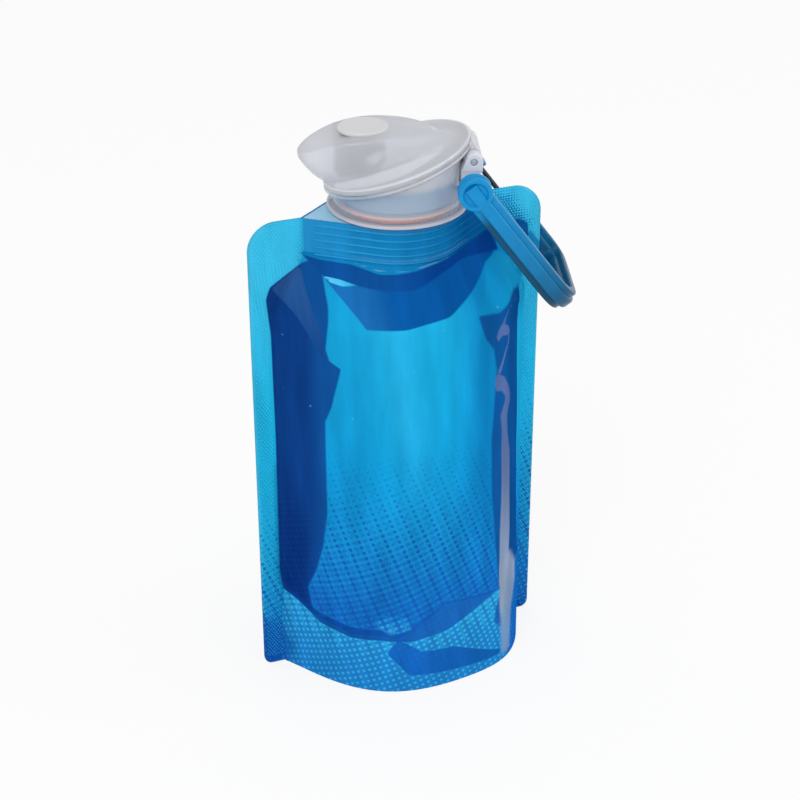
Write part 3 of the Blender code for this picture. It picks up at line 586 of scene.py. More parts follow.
WELD_GLINT = [(-18.0, 137.3, 0.05), (-12.0, 135.8, 0.22), (-8.6, 135.5, 0.1), (-3.6, 135.9, 0.1),
              (2.0, 136.8, 0.25), (9.0, 137.4, 0.05)]
BASE_LINE = [(-38.3, 27.0), (-30.6, 22.0), (-23.4, 19.8), (-16.1, 20.6), (-10.9, 19.4), (-3.6, 24.0),
             (3.8, 29.2), (23.4, 27.1)]
BASE_BAND = [(-38.3, 28.5), (-30.6, 23.8), (-23.4, 22.0), (-16.1, 22.4), (-10.9, 21.0), (3.8, 29.8),
             (23.4, 27.9), (13.5, 23.4), (5.0, 19.5), (-7.6, 17.6), (-16.1, 18.6), (-23.4, 18.2),
             (-30.6, 20.2)]
BASE_DENT = [(-14.3, 13.9), (-7.8, 5.5), (23.8, 3.0), (24.6, 4.5), (6.8, 12.9), (-3.6, 13.6),
             (-10.9, 18.7)]
BASE_BRIGHT = [(-17.4, 24.0), (-16.0, 27.5), (-6.5, 26.3), (-7.5, 22.4), (-13.3, 21.0)]
BASE_AREA = BASE_LINE + [(26.0, 26.0), (29.0, 10.0), (27.0, -4.0), (-40.0, -4.0)]
GUSSET_SHADE = [(24.4, 26.0), (27.0, 24.0), (24.6, 12.0), (21.6, 16.0), (22.6, 22.0)]

# Folds painted on the front film in this order: outline, width of the soft edge, strength, and a tone
# that runs along one axis from the first place and colour to the second. The dark facets, the vee, the
# band under the spout, the base bands, dent and gusset, the ear patches and the foot are painted shade;
# the right facet and the sliver are painted light, the glint a painted highlight, and the sheen and the
# streak a painted reflection
FRONT_FOLDS = (
    (RIGHT_FACET, 1.6, 0.8, "X", 22.0, srgb(18, 144, 200), 32.0, srgb(26, 160, 210)),
    (LEFT_FACET, 0.5, 1.0, "X", -32.0, srgb(15, 62, 132), -28.5, srgb(18, 82, 154)),
    (LEFT_DEEP, 5.0, 1.0, "Z", 34.0, srgb(9, 44, 112), 72.0, srgb(14, 58, 128)),
    (LEFT_SHEEN, 0.4, 0.9, "Z", 112.0, srgb(24, 74, 142), 132.0, srgb(44, 90, 150)),
    (VEE, 0.5, 1.0, "X", -17.0, srgb(28, 108, 178), -8.0, srgb(10, 86, 160)),
    (NECK_BAND, 0.5, 1.0, "X", -14.0, srgb(15, 80, 152), 8.0, srgb(8, 66, 144)),
    (WELD_FOOT, 0.4, 1.0, "X", -12.0, srgb(18, 130, 190), 17.0, srgb(6, 88, 150)),
    (WELD_GLINT, 0.3, 0.6, "X", -12.0, srgb(130, 170, 214), 8.0, srgb(110, 160, 210)),
    (LIT_SLIVER, 0.25, 1.0, "X", -24.0, srgb(86, 200, 238), -16.0, srgb(40, 160, 216)),
    (RIGHT_DARK, 1.0, 1.0, "X", 21.0, srgb(16, 86, 154), 31.0, srgb(14, 78, 146)),
    (BASE_AREA, 0.5, 0.9, "Z", 4.0, srgb(52, 176, 228), 24.0, srgb(56, 186, 232)),
    (BASE_BAND, 0.5, 0.9, "X", -30.0, srgb(10, 62, 140), 4.0, srgb(24, 92, 180)),
    (BASE_DENT, 0.6, 0.85, "X", -8.0, srgb(14, 88, 184), 22.0, srgb(12, 76, 160)),
    (GUSSET_SHADE, 0.9, 0.8, "Z", 14.0, srgb(14, 80, 160), 26.0, srgb(14, 80, 160)),
    (BASE_BRIGHT, 1.6, 0.8, "Z", 20.0, srgb(64, 190, 236), 27.0, srgb(30, 150, 216)),
    (FLANGE_FACE, 0.5, 1.0, "Z", 30.0, srgb(10, 128, 202), 90.0, srgb(30, 172, 222)),
    (EAR_MID, 0.8, 0.8, "Z", 122.0, srgb(10, 130, 200), 134.0, srgb(10, 130, 200)),
    (EAR_DOTS, 0.5, 0.8, "Z", 136.0, srgb(10, 96, 170), 146.0, srgb(14, 110, 180)),
    (EAR_DARK, 0.5, 0.95, "Z", 130.0, srgb(8, 86, 160), 138.0, srgb(8, 86, 160)),
    (FOOT_SHADE, 2.2, 0.6, "Z", 0.0, srgb(10, 76, 160), 20.0, srgb(10, 76, 160)),
    (REFLECTED_STREAK_LINE, 0.2, 0.75, "Z", 110.0, srgb(98, 114, 172), 120.0, srgb(74, 110, 176)),
    (REFLECTED_STREAK_SPOT, 0.4, 0.9, "Z", 110.0, srgb(90, 112, 166), 118.0, srgb(84, 110, 170)),
    (REFLECTED_STREAK_NECK, 0.2, 0.85, "Z", 100.0, srgb(90, 112, 166), 114.0, srgb(84, 110, 170)),
    (REFLECTED_STREAK_FOOT, 2.2, 0.92, "Z", 6.0, srgb(122, 152, 190), 34.0, srgb(148, 164, 188)),
    (REFLECTED_STREAK, 0.7, 0.92, "Z", 18.0, srgb(150, 166, 188), 90.0, srgb(88, 110, 162)),
)

# Corners and folds of the back film, in the same way: painted shade on its side facets, its shoulder and its
# band under the spout, and a lighter tone over its base
SIDE_BACK = [(25.6, 131.5), (24.6, 110.0), (26.0, 80.0), (24.4, 50.0), (25.4, 28.0), (38.6, 29.0),
             (38.6, 122.0), (33.0, 131.0)]
SIDE_BACK_LEFT = [(-x, z) for x, z in SIDE_BACK]
BACK_FOLDS = (
    (SIDE_BACK, 0.6, 1.0, "X", 25.0, srgb(18, 84, 156), 30.0, srgb(15, 62, 132)),
    (SIDE_BACK_LEFT, 0.6, 1.0, "X", -30.0, srgb(15, 62, 132), -25.0, srgb(18, 84, 156)),
    ([(-27, 133), (-17, 120.5), (17, 120.5), (27, 133)], 0.6, 1.0, "X", -17.0, srgb(24, 104, 176), 17.0,
     srgb(10, 86, 160)),
    ([(-30, 137.6), (-28, 131.5), (28, 131.5), (30, 137.6)], 0.6, 1.0, "X", -14.0, srgb(15, 80, 152), 14.0,
     srgb(8, 66, 144)),
    ([(-38.6, 26), (-20, 18), (0, 21), (20, 18), (38.6, 26), (38.6, -4), (-38.6, -4)], 0.6, 0.8, "Z", 6.0,
     srgb(18, 116, 196), 24.0, srgb(38, 152, 212)),
)

# Folds of painted shade and painted light that the seals' raised points leave free, on the front and on the
# back
FREE_FRONT = (LEFT_FACET, RIGHT_DARK, RIGHT_FACET, NECK_BAND, VEE, EAR_DARK, EAR_MID)
FREE_BACK = (SIDE_BACK, SIDE_BACK_LEFT)


def gusset_seal(x, half_width):
    """Height of the seal between the base film and the wall above each x."""
    corner = np.clip(np.abs(x) / half_width, 0, 1) ** 3
    return GUSSET_SEAL_MIDDLE + (GUSSET_SEAL_CORNER - GUSSET_SEAL_MIDDLE) * corner


def film_dent(x, z, side):
    """How far the film stands out from the plain wall, in millimetres; it is creased and dented."""
    half_width, _, share = chamber(z)
    inwards = half_width - np.abs(x)
    free = smooth(inwards / 5.0) * (1 - share) * smooth((z - 24.0) / 14.0)
    low = smooth(inwards / 5.0) * smooth(z / 4.0) * (1 - smooth((z - 24.0) / 14.0))
    waves = 0.22 * ripple(x, 0.25 * z, DENT_SEED + side, 34.0)
    waves = waves + 0.08 * ripple(x, z, FINE_DENT_SEED + side, 17.0)
    shoulder_free = smooth((137 - z) / 4) * smooth(inwards / 4.0)
    if side > 0:
        ridge_x = 25.0 + 1.5 * np.sin(z / 22.0)
        ridges = 0.5 * np.exp(-((np.abs(x) - ridge_x) / 2.0) ** 2)
        shoulder = -0.8 * cover([(-26, 132), (-17, 120), (17, 120), (26, 132)], x, z, 4.0)
        dent = free * (waves + ridges) + shoulder_free * shoulder + 0.3 * low * waves
    else:
        left = 0.6 * np.exp(-((x + 28.2 + 0.6 * np.sin(z / 14.0)) / 2.0) ** 2)
        right = 0.5 * np.exp(-((x - 25.2 - 1.2 * np.sin(z / 17.0)) / 1.8) ** 2)
        vee = -0.9 * cover(VEE, x, z, 4.0) - 0.4 * cover(NECK_BAND, x, z, 3.0)
        base = 0.4 * np.exp(-(line_distance(BASE_LINE, x, z) / 1.6) ** 2) - 0.6 * cover(BASE_DENT, x, z, 4.0)
        dent = free * (waves + left + right) + shoulder_free * vee + low * base
    # Below its seal the base film lies right behind this one, which leaves no room to dent inwards
    room = smooth((z - gusset_seal(x, half_width) - 1.0) / 4.0)
    return np.where(dent < 0, dent * room, dent)


def weld_share(x, z):
    """1 where a film is welded to the spout, and 0 elsewhere."""
    return smooth((z - WELD_START) / 0.6) * smooth((BOAT_HALF_LENGTH + 0.8 - np.abs(x)) / 0.9)


def film_colour(x, z, side):
    """Colour of the film between its folds, and how far it covers what is behind."""
    half_width = chamber(z)[0]
    weld = weld_share(x, z)
    sealed = smooth((np.abs(x) - half_width + 0.5) / 0.9) * (1 - weld)
    colour = ramp(z, FILM_STOPS)
    # Painted shade: the film darkens towards both sides above the base, more on the right
    side_shade_share = np.where(x > 0, 0.9 * smooth((x - 4) / 15), 0.3 * smooth((-x - 10) / 13))
    colour = mix(colour, SIDE_SHADE_BLUE, side_shade_share * smooth((z - 30) / 30))
    # Painted light: a soft lighter band left of the middle, leaning to the left as it rises
    glow = np.exp(-((x + 9 + 0.12 * (z - 110)) / 5.0) ** 2) * smooth((z - 55) / 40)
    colour = mix(colour, PAINTED_LIGHT_BLUE, 0.5 * glow)
    colour = colour * (1 + 0.04 * ripple(x, 0.3 * z, TONE_SEED + side, 26.0))[..., None]
    # Painted highlights along the weld's lower and upper edges
    weld_highlight = np.exp(-((z - 138.4) / 0.5) ** 2) + 0.5 * np.exp(-((z - 147.9) / 0.6) ** 2)
    highlight_share = 0.45 * weld_highlight * smooth((20 - np.abs(x)) / 6)
    colour = mix(colour, mix(ramp(x, WELD_STOPS), WELD_HIGHLIGHT_BLUE, highlight_share), weld)
    colour = mix(colour, ramp(z, SEAL_STOPS), sealed)
    edge_line = smooth((np.abs(x) - panel_edge(z) + 0.9) / 0.5)
    colour = mix(colour, FILM_EDGE_BLUE, 0.5 * edge_line)
    return colour, 1 - 0.12 * weld - 0.16 * sealed


def film_print(x, z, side):
    """Share of the film that the print covers, and strength of the first and of the second grid."""
    weld = weld_share(x, z)
    sealed = np.abs(x) > chamber(z)[0]
    if side < 0:
        sealed = sealed | (cover(FLANGE_FACE, x, z, 0.5) > 0.5)
    on_left_seal = np.interp(z, LEFT_SEAL_LEVELS, LEFT_SEAL_SHARES)
    on_right_seal = np.interp(z, RIGHT_SEAL_LEVELS, RIGHT_SEAL_SHARES)
    size = np.interp(z, PRINT_LEVELS, PRINT_SHARES)
    size = np.where(sealed, np.where(x > 0, on_right_seal, on_left_seal), size) * (1 - weld)
    first = np.full(x.shape, 1.0)
    second = smooth((z - 24) / 8)
    if side < 0:
        below = cover(BASE_AREA, x, z, 0.8)
        second = (1 - below) * smooth((z - 18) / 6)
        # The print fades under the painted shade of the dark facets and the dented bands, and under the
        # painted reflection of the streak
        dark = np.maximum(cover(LEFT_FACET, x, z, 1.5), cover(RIGHT_DARK, x, z, 1.5))
        dented = np.maximum(cover(BASE_BAND, x, z, 0.8), cover(BASE_DENT, x, z, 0.8))
        dark = np.where(sealed, 0.0, dark)
        plain = (1 - cover(REFLECTED_STREAK, x, z, 0.8)) * (1 - 0.9 * cover(REFLECTED_STREAK_FOOT, x, z, 2.0))
        first = first * (1 - 0.85 * dark) * (1 - 0.55 * dented) * (1 - 0.2 * below) * plain
        second = second * (1 - dark) * plain
    return np.stack([size, first, second * np.where(sealed, 0.4, 1.0)], axis=-1)


def film_levels():
    """Heights of the film's rows: closer together at the weld and the foot."""
    foot = np.array([FOOT_RADIUS * (1 - math.cos(math.radians(a))) for a in range(0, 91, 15)])
    wall = np.linspace(FOOT_RADIUS, BOAT_BOTTOM - 1.0, FILM_ROWS)[1:]
    weld = np.linspace(BOAT_BOTTOM - 1.0, POUCH_HEIGHT - EAR_RADIUS, WELD_ROWS)[1:]
    ear = POUCH_HEIGHT - EAR_RADIUS + EAR_RADIUS * np.sin(np.radians(np.linspace(0, 90, EAR_ROWS)))[1:]
    return np.concatenate([foot, wall, weld, ear])


def film_wall(name, side, material, settings):
    """One film of the pouch as a closed thin sheet with creases, pressed ribs and painted folds."""
    z = film_levels()
    half_width = chamber(z)[0]
    edge = panel_edge(z)
    angle = np.pi * (np.arange(FILM_COLUMNS + 1) / FILM_COLUMNS - 0.5)
    rows = len(z)
    inner_x = half_width[:, None] * np.sin(angle)[None, :]
    level = np.repeat(z[:, None], FILM_COLUMNS + 1, axis=1)
    depth, share = chamber(level)[1:]
    across = np.sin(angle)[None, :]
    swell = 1.0 if side > 0 else front_swell(across)
    pouch_y = depth * np.cos(angle)[None, :] * swell
    neck_y = boat_outline_y(inner_x, SEAT_GAP)
    inner_y = FILM_START + pouch_y + (neck_y - pouch_y) * share
    ribs = smooth((level - BOAT_BOTTOM + 0.4) / 0.8) * smooth((BOAT_HALF_LENGTH - 2 - np.abs(inner_x)) / 3)
    pitch = (POUCH_HEIGHT - BOAT_BOTTOM) / settings.rib_count
    inner_y += 0.16 * ribs * np.cos(2 * np.pi * (level - BOAT_BOTTOM - 0.3 * pitch) / pitch)
    inner_y += film_dent(inner_x, level, side)
    strip = np.linspace(0, 1, FILM_SEAL_COLUMNS + 1)[1:]
    strip_x = half_width[:, None] + (edge - half_width)[:, None] * strip[None, :]
    strip_y = np.full(strip_x.shape, FILM_START)
    x = np.concatenate([-strip_x[:, ::-1], inner_x, strip_x], axis=1)
    y = np.concatenate([strip_y, inner_y, strip_y], axis=1)
    width = x.shape[1]
    level = np.repeat(z[:, None], width, axis=1)
    vertices = np.concatenate([np.stack([x, side * (y + offset), level], axis=-1).reshape(-1, 3) * MM
                               for offset in (0.0, FILM)])
    faces = []
    layer = rows * width
    for start in (0, layer):
        for r in range(rows - 1):
            first = start + r * width
            for c in range(width - 1):
                faces.append((first + c, first + c + 1, first + width + c + 1, first + width + c))
    for r in range(rows - 1):
        for c in (0, width - 1):
            low, high = r * width + c, (r + 1) * width + c
            faces.append((low, high, layer + high, layer + low))
    for c in range(width - 1):
        for r in (0, rows - 1):
            low = r * width + c
            faces.append((low, low + 1, layer + low + 1, layer + low))
    piece = piece_from(name, vertices, faces, material)
    turn_outwards(piece)
    colour, covering = film_colour(x, level, side)
    steps = np.cumsum(np.hypot(np.diff(x, axis=1), np.diff(y, axis=1)), axis=1)
    run = np.concatenate([np.zeros((rows, 1)), steps], axis=1)
    run -= run[:, width // 2][:, None]
    paint = np.concatenate([np.clip(colour, 0, 1), covering[..., None]], axis=-1)
    store(piece.data, "film_paint", "FLOAT_COLOR", paint, 2)
    store(piece.data, "film_flat", "FLOAT_VECTOR", np.stack([run, level, 0 * run], axis=-1), 2)
    store(piece.data, "film_print", "FLOAT_VECTOR", film_print(x, level, side), 2)
    for k, fold in enumerate(FRONT_FOLDS if side < 0 else BACK_FOLDS):
        store(piece.data, f"fold_{k}", "FLOAT", fold_distance(fold[0], x, level), 2)
    return piece


def store(mesh, name, kind, values, layers=1):
    """Keeps a value on each vertex of a mesh, the same in each of its layers."""
    field = {"FLOAT_COLOR": "color", "FLOAT_VECTOR": "vector", "FLOAT": "value"}[kind]
    flat = np.tile(np.asarray(values, np.float32).ravel(), layers)
    mesh.attributes.new(name, kind, "POINT").data.foreach_set(field, flat)


def film_grid(tree, flat, pitch, angle, covered):
    """1 in one grid's printed crosses, which grow with the covered share until light spots are left."""
    grid = parts_of(tree, mapped(tree, flat, {"Rotation": (0, 0, angle)}))
    turns = [math_node(tree, "MULTIPLY", grid[k], math.pi * MM / pitch) for k in range(2)]
    waves = [math_node(tree, "ABSOLUTE", math_node(tree, "SINE", turn)) for turn in turns]
    width = map_range(tree, covered, 0.05, 0.8, 0.18, 0.8)
    reach = map_range(tree, covered, 0.3, 0.63, 0.62, 1.15)
    line = math_node(tree, "COSINE", turns[0])
    lighter = math_node(tree, "MAXIMUM", map_range(tree, line, 0.5, 0.95, 1.0, 0.5, smoothly=True),
                        map_range(tree, covered, 0.54, 0.62, 0.0, 0.95))
    straight = math_node(tree, "MINIMUM", waves[0], waves[1])
    curved = math_node(tree, "SUBTRACT", math_node(tree, "MULTIPLY", waves[0], waves[1]), straight)
    curved = math_node(tree, "MULTIPLY", curved, map_range(tree, covered, 0.5, 0.6))
    arm = math_node(tree, "SUBTRACT", math_node(tree, "ADD", straight, curved), width)
    tip = math_node(tree, "SUBTRACT", math_node(tree, "MAXIMUM", waves[0], waves[1]), reach)
    cross = math_node(tree, "MULTIPLY", map_range(tree, arm, 0.1, -0.1, smoothly=True),
                      map_range(tree, tip, 0.12, -0.12, smoothly=True))
    return math_node(tree, "MULTIPLY", cross, lighter)


def film_material(name, settings, folds):
    """Tinted film: painted shade, light and reflection at crisp folds, two printed grids, a slow drift of
    tone, small drops and fine wrinkles.
    """
    material, tree, shader = new_material(name)
    paint = kept_value(tree, "film_paint")
    flat = kept_value(tree, "film_flat").outputs["Vector"]
    covered, *strengths = parts_of(tree, kept_value(tree, "film_print").outputs["Vector"])
    place = parts_of(tree, object_place(tree, (1 / MM,) * 3))
    tone = paint.outputs["Color"]
    specks = [math_node(tree, "SINE", math_node(tree, "MULTIPLY", place[axis], 2 * math.pi / SPECKLE_PITCH))
              for axis in (0, 2)]
    speckle = math_node(tree, "MULTIPLY", math_node(tree, "ADD", *specks), SPECKLE_REACH)
    # Each fold lays its painted shade, painted light or painted reflection over the film's tone
    for k, (outline, soft, strength, axis, low, low_tone, high, high_tone) in enumerate(folds):
        away = kept_value(tree, f"fold_{k}").outputs["Fac"]
        if outline is EAR_DOTS:
            away = math_node(tree, "ADD", away, speckle)
        share = map_range(tree, away, soft / 2, -soft / 2, 0.0, strength, smoothly=True)
        along = map_range(tree, place["XYZ".index(axis)], low, high, smoothly=True)
        tone = mix_colour(tree, share, tone, mix_colour(tree, along, low_tone, high_tone))
    uneven = map_range(tree, noise(tree, flat, 0.25), 0.3, 0.7, 0.94, 1.06)
    size = math_node(tree, "MULTIPLY", covered, uneven)
    faint = map_range(tree, covered, 0.02, 0.44, 0.0, settings.print_strength)
    for strength, ratio, share in zip(strengths, (1.0, SECOND_GRID_PITCH), (1.0, SECOND_GRID_SHARE)):
        grid = film_grid(tree, flat, settings.halftone_pitch * ratio, settings.halftone_angle, size)
        amount = math_node(tree, "MULTIPLY", math_node(tree, "MULTIPLY", grid, strength), faint)
        amount = math_node(tree, "MULTIPLY", amount, share)
        tone = mix_colour(tree, amount, tone, tuple(settings.print_colour))
    wide_marks = mapped(tree, flat, {"Scale": (0.16, 0.03, 0.0), "Rotation": (0, 0, 0.12)})
    tone = scaled(tree, tone, map_range(tree, noise(tree, wide_marks, 1.0, 3.0), 0.3, 0.7, 0.86, 1.16))
    cells = node(tree, "ShaderNodeTexVoronoi", {"Scale": DROP_CELLS, "Randomness": 1.0})
    tree.links.new(flat, cells.inputs["Vector"])
    chosen = node(tree, "ShaderNodeSeparateColor")
    tree.links.new(cells.outputs["Color"], chosen.inputs[0])
    rare = math_node(tree, "GREATER_THAN", chosen.outputs[0], DROP_RARITY)
    high = map_range(tree, place[2], DROP_LOW, DROP_HIGH)
    drop = math_node(tree, "MULTIPLY", map_range(tree, cells.outputs["Distance"], 0.1, 0.06), rare)
    drop = math_node(tree, "MULTIPLY", math_node(tree, "MULTIPLY", drop, high), DROP_STRENGTH)
    tree.links.new(mix_colour(tree, drop, tone, DROP_BLUE), shader.inputs["Base Color"])
    shader.inputs["Roughness"].default_value = settings.film_roughness
    shader.inputs["Specular IOR Level"].default_value = 0.0
    tree.links.new(paint.outputs["Alpha"], shader.inputs["Alpha"])
    fine = noise(tree, flat, 0.5, 5.0)
    long_marks = mapped(tree, flat, {"Scale": (0.6, 0.06, 0.0)})
    fine = math_node(tree, "MULTIPLY", fine, 0.25)
    height = math_node(tree, "ADD", fine, noise(tree, long_marks, 1.0, 4.0))
    bump(tree, shader, height, 0.25, 0.0006)
    return material


def base_film(material):
    """Base film: sealed inside both walls and folded over down to the floor."""
    def ring(inset, height):
        points = []
        for k in range(BASE_COLUMNS):
            angle = 2 * math.pi * k / BASE_COLUMNS
            across = math.cos(angle)
            z = height(gusset_seal(across, 1.0)) if callable(height) else height
            half_width, depth, _ = chamber(np.float64(z))
            front = front_swell(across) if math.sin(angle) < 0 else 1.0
            reach = (depth + SEAT_GAP / 2 - inset - SEAT_GAP) * front
            x = (half_width - inset - SEAT_GAP) * across
            points.append((x, reach * math.sin(angle), z))
        return points

    def stepped(low, high, steps):
        return [tuple(low[k] + (high[k] - low[k]) * s / steps for k in range(2)) for s in range(steps)]

    under = []
    profile = [(14.0, 0.0), (7.0, 0.04), (3.4, 0.35), (1.9, 0.75), (FILM, 1.0)]
    for low, high in zip(profile, profile[1:]):
        under += stepped(low, high, 6)
    under.append(profile[-1])
    rings = [ring(30.0, 0.9), ring(22.0, 0.7)]
    rings += [ring(inset, lambda seal, s=share: s * seal + FILM) for inset, share in under]
    rings += [ring(0.0, lambda seal: seal), ring(0.0, 0.0), ring(FILM, 0.0)]
    rings += [ring(inset - 0.35 * min(1.0, inset / 3) if inset > FILM else FILM + 0.1,
                   lambda seal, s=share: s * seal) for inset, share in under[::-1]]
    rings += [ring(22.0, 0.25), ring(30.0, 0.45)]
    count = BASE_COLUMNS
    vertices = [point for r in rings for point in r]
    faces = []
    for low in range(len(rings) - 1):
        for k in range(count):
            after = (k + 1) % count
            faces.append((low * count + k, low * count + after, (low + 1) * count + after,
                          (low + 1) * count + k))
    for first, z in ((0, 0.9), ((len(rings) - 1) * count, 0.45)):
        vertices.append((0.0, 0.0, z))
        hub = len(vertices) - 1
        faces += [(first + k, first + (k + 1) % count, hub) for k in range(count)]
    points = np.array(vertices)
    piece = piece_from("base_film", points * MM, faces, material)
    turn_outwards(piece)
    reach = np.hypot(points[:, 0], points[:, 1])
    paint = np.concatenate([ramp(reach, BASE_STOPS), np.ones((len(points), 1))], axis=-1)
    store(piece.data, "film_paint", "FLOAT_COLOR", paint)
    store(piece.data, "film_flat", "FLOAT_VECTOR", points)
    store(piece.data, "film_print", "FLOAT_VECTOR", np.tile([0.75, 1.0, 0.0], (len(points), 1)))
    return piece


# Geometry node trees

class Tree:
    """A geometry node tree with named inputs that ends in Realize Instances and Set Material."""

    def __init__(self, name, inputs):
        self.tree = bpy.data.node_groups.new(name, "GeometryNodeTree")
        face = self.tree.interface
        face.new_socket("Geometry", in_out="INPUT", socket_type="NodeSocketGeometry")
        for label, kind in inputs:
            face.new_socket(label, in_out="INPUT", socket_type=kind)
        face.new_socket("Geometry", in_out="OUTPUT", socket_type="NodeSocketGeometry")
        self.start = self.add("NodeGroupInput")

    def add(self, kind, links=None, **settings):
        """A node with its settings and its inputs, each a socket or a value."""
        made = self.tree.nodes.new(kind)
        for key, value in settings.items():
            setattr(made, key, value)
        for key, value in (links or {}).items():
            if isinstance(value, bpy.types.NodeSocket):
                self.tree.links.new(value, made.inputs[key])
            else:
                made.inputs[key].default_value = value
        return made

    def finish(self, geometry):
        """Ends the tree: real geometry in the given material, smoothly shaded."""
        realised = self.add("GeometryNodeRealizeInstances", {0: geometry})
        coloured = self.add("GeometryNodeSetMaterial",
                            {0: realised.outputs[0], "Material": self.start.outputs["Material"]})
        smoothed = self.add("GeometryNodeSetShadeSmooth", {0: coloured.outputs[0]})
        end = self.add("NodeGroupOutput")
        self.tree.links.new(smoothed.outputs[0], end.inputs[0])

    def run(self, name, source, values):
        """Runs the tree on a source object and returns the result as a plain piece."""
        modifier = source.modifiers.new("build", "NODES")
        modifier.node_group = self.tree
        for item in self.tree.interface.items_tree:
            if item.in_out == "INPUT" and item.name in values:
                modifier[item.identifier] = values[item.name]
        mesh = evaluated_mesh(source, name)
        piece = bpy.data.objects.new(name, mesh)
        bpy.context.scene.collection.objects.link(piece)
        bpy.data.objects.remove(source, do_unlink=True)
        return piece


def point_cloud(points, edges=()):
    """A source object for a tree: points in metres, joined by edges where it is a path."""
    mesh = bpy.data.meshes.new("points")
    mesh.from_pydata([tuple(p) for p in points], list(edges), [])
    cloud = bpy.data.objects.new("points", mesh)
    bpy.context.scene.collection.objects.link(cloud)
    return cloud


def seal_pattern(settings, material):
    """Small raised points in rows over both side seals and the ears."""
    pitch = settings.knurl_pitch / MM
    face = FILM_START + FILM - 0.01
    points = []
    row = 0
    z = 3.0
    while z < POUCH_HEIGHT - 0.8:
        inner = float(chamber(np.float64(z))[0]) + SEAL_MARGIN
        outer = float(panel_edge(np.float64(z))) - SEAL_MARGIN
        if z > BOAT_BOTTOM - 1:
            inner = BOAT_HALF_LENGTH + 1.4
        x = inner + (pitch / 2 if row % 2 else 0.0)
        while x < outer:
            for way in (-1, 1):
                for side, outlines in ((-1, FREE_FRONT), (1, FREE_BACK)):
                    spot = np.array([way * x]), np.array([z])
                    if min(outline_distance(outline, *spot)[0] for outline in outlines) > SEAL_MARGIN:
                        points.append((way * x * MM, side * face * MM, z * MM))
            x += pitch
        z += pitch * 0.75
        row += 1
    made = Tree("raised_points", [("Point Radius", "NodeSocketFloat"), ("Point Height", "NodeSocketFloat"),
                                  ("Material", "NodeSocketMaterial")])
    start = made.start.outputs
    cone = made.add("GeometryNodeMeshCone", {
        "Vertices": 4, "Radius Top": 0.0, "Radius Bottom": start["Point Radius"],
        "Depth": start["Point Height"]})
    place = made.add("GeometryNodeInputPosition")
    parts = made.add("ShaderNodeSeparateXYZ", {0: place.outputs[0]})
    way = made.add("ShaderNodeMath", {0: parts.outputs[1]}, operation="SIGN")
    turn = made.add("ShaderNodeMath", {0: way.outputs[0], 1: -math.pi / 2}, operation="MULTIPLY")
    angles = made.add("ShaderNodeCombineXYZ", {0: turn.outputs[0]})
    placed = made.add("GeometryNodeInstanceOnPoints", {
        "Points": start["Geometry"], "Instance": cone.outputs["Mesh"], "Rotation": angles.outputs[0]})
    made.finish(placed.outputs[0])
    piece = made.run("seal_pattern", point_cloud(points), {
        "Point Radius": POINT_RADIUS, "Point Height": POINT_HEIGHT, "Material": material})
    piece.data.shade_flat()
    return piece


def weld_ribs(settings, material, side, name):
    """Ridges pressed into one film over the spout's ribs, each following the spout's outline."""
    span = BOAT_HALF_LENGTH - 2.2
    x = np.linspace(-span, span, RIB_STEPS + 1)
    y = side * (boat_outline_y(x, SEAT_GAP) + FILM_START + FILM)
    pitch = (POUCH_HEIGHT - BOAT_BOTTOM) / settings.rib_count
    low = BOAT_BOTTOM + 0.3 * pitch
    line = point_cloud([(px * MM, py * MM, low * MM) for px, py in zip(x, y)],
                       [(k, k + 1) for k in range(RIB_STEPS)])
    made = Tree("pressed_ribs", [
        ("Rib Count", "NodeSocketInt"), ("Rib Pitch", "NodeSocketFloat"), ("Rib Radius", "NodeSocketFloat"),
        ("Material", "NodeSocketMaterial")])
    start = made.start.outputs
    path = made.add("GeometryNodeMeshToCurve", {0: start["Geometry"]})
    rod = made.add("GeometryNodeCurvePrimitiveCircle", {"Resolution": 12, "Radius": start["Rib Radius"]})
    swept = made.add("GeometryNodeCurveToMesh", {
        "Curve": path.outputs[0], "Profile Curve": rod.outputs[0], "Fill Caps": True})
    rise = made.add("ShaderNodeCombineXYZ", {2: start["Rib Pitch"]})
    rows = made.add("GeometryNodeMeshLine", {"Count": start["Rib Count"], "Offset": rise.outputs[0]})
    placed = made.add("GeometryNodeInstanceOnPoints", {
        "Points": rows.outputs[0], "Instance": swept.outputs[0]})
    made.finish(placed.outputs[0])
    return made.run(name, line, {
        "Rib Count": settings.rib_count, "Rib Pitch": pitch * MM, "Rib Radius": settings.rib_radius,
        "Material": material})


# Plastics

def plain_plastic(name, colour, roughness, coat=0.0):
    """Moulded plastic with a slow drift of colour and a fine moulded grain."""
    material, tree, shader = new_material(name)
    place = object_place(tree)
    drift = map_range(tree, noise(tree, place, 60.0), 0.3, 0.7, 0.94, 1.06)
    tree.links.new(scaled(tree, colour, drift), shader.inputs["Base Color"])
    worn = map_range(tree, noise(tree, place, 250.0, 4.0), 0.3, 0.7, roughness - 0.05, roughness + 0.07)
    tree.links.new(worn, shader.inputs["Roughness"])
    shader.inputs["Coat Weight"].default_value = coat
    shader.inputs["Coat Roughness"].default_value = 0.1
    bump(tree, shader, noise(tree, place, 900.0, 2.0), 0.12, 0.0003)
    return material


def moulded_finish(tree, shader, tone, shine):
    """Gives a tone its slow drift, an even gloss and a fine moulded grain."""
    place = object_place(tree)
    drift = map_range(tree, noise(tree, place, 200.0), 0.3, 0.7, 0.94, 1.06)
    tree.links.new(scaled(tree, tone, drift), shader.inputs["Base Color"])
    gloss = map_range(tree, noise(tree, place, 500.0), 0.3, 0.7, 0.24, 0.36)
    tree.links.new(gloss, shader.inputs["Roughness"])
    shader.inputs["Specular IOR Level"].default_value = shine
    bump(tree, shader, noise(tree, place, 400.0, 2.0), 0.1, 0.0002)


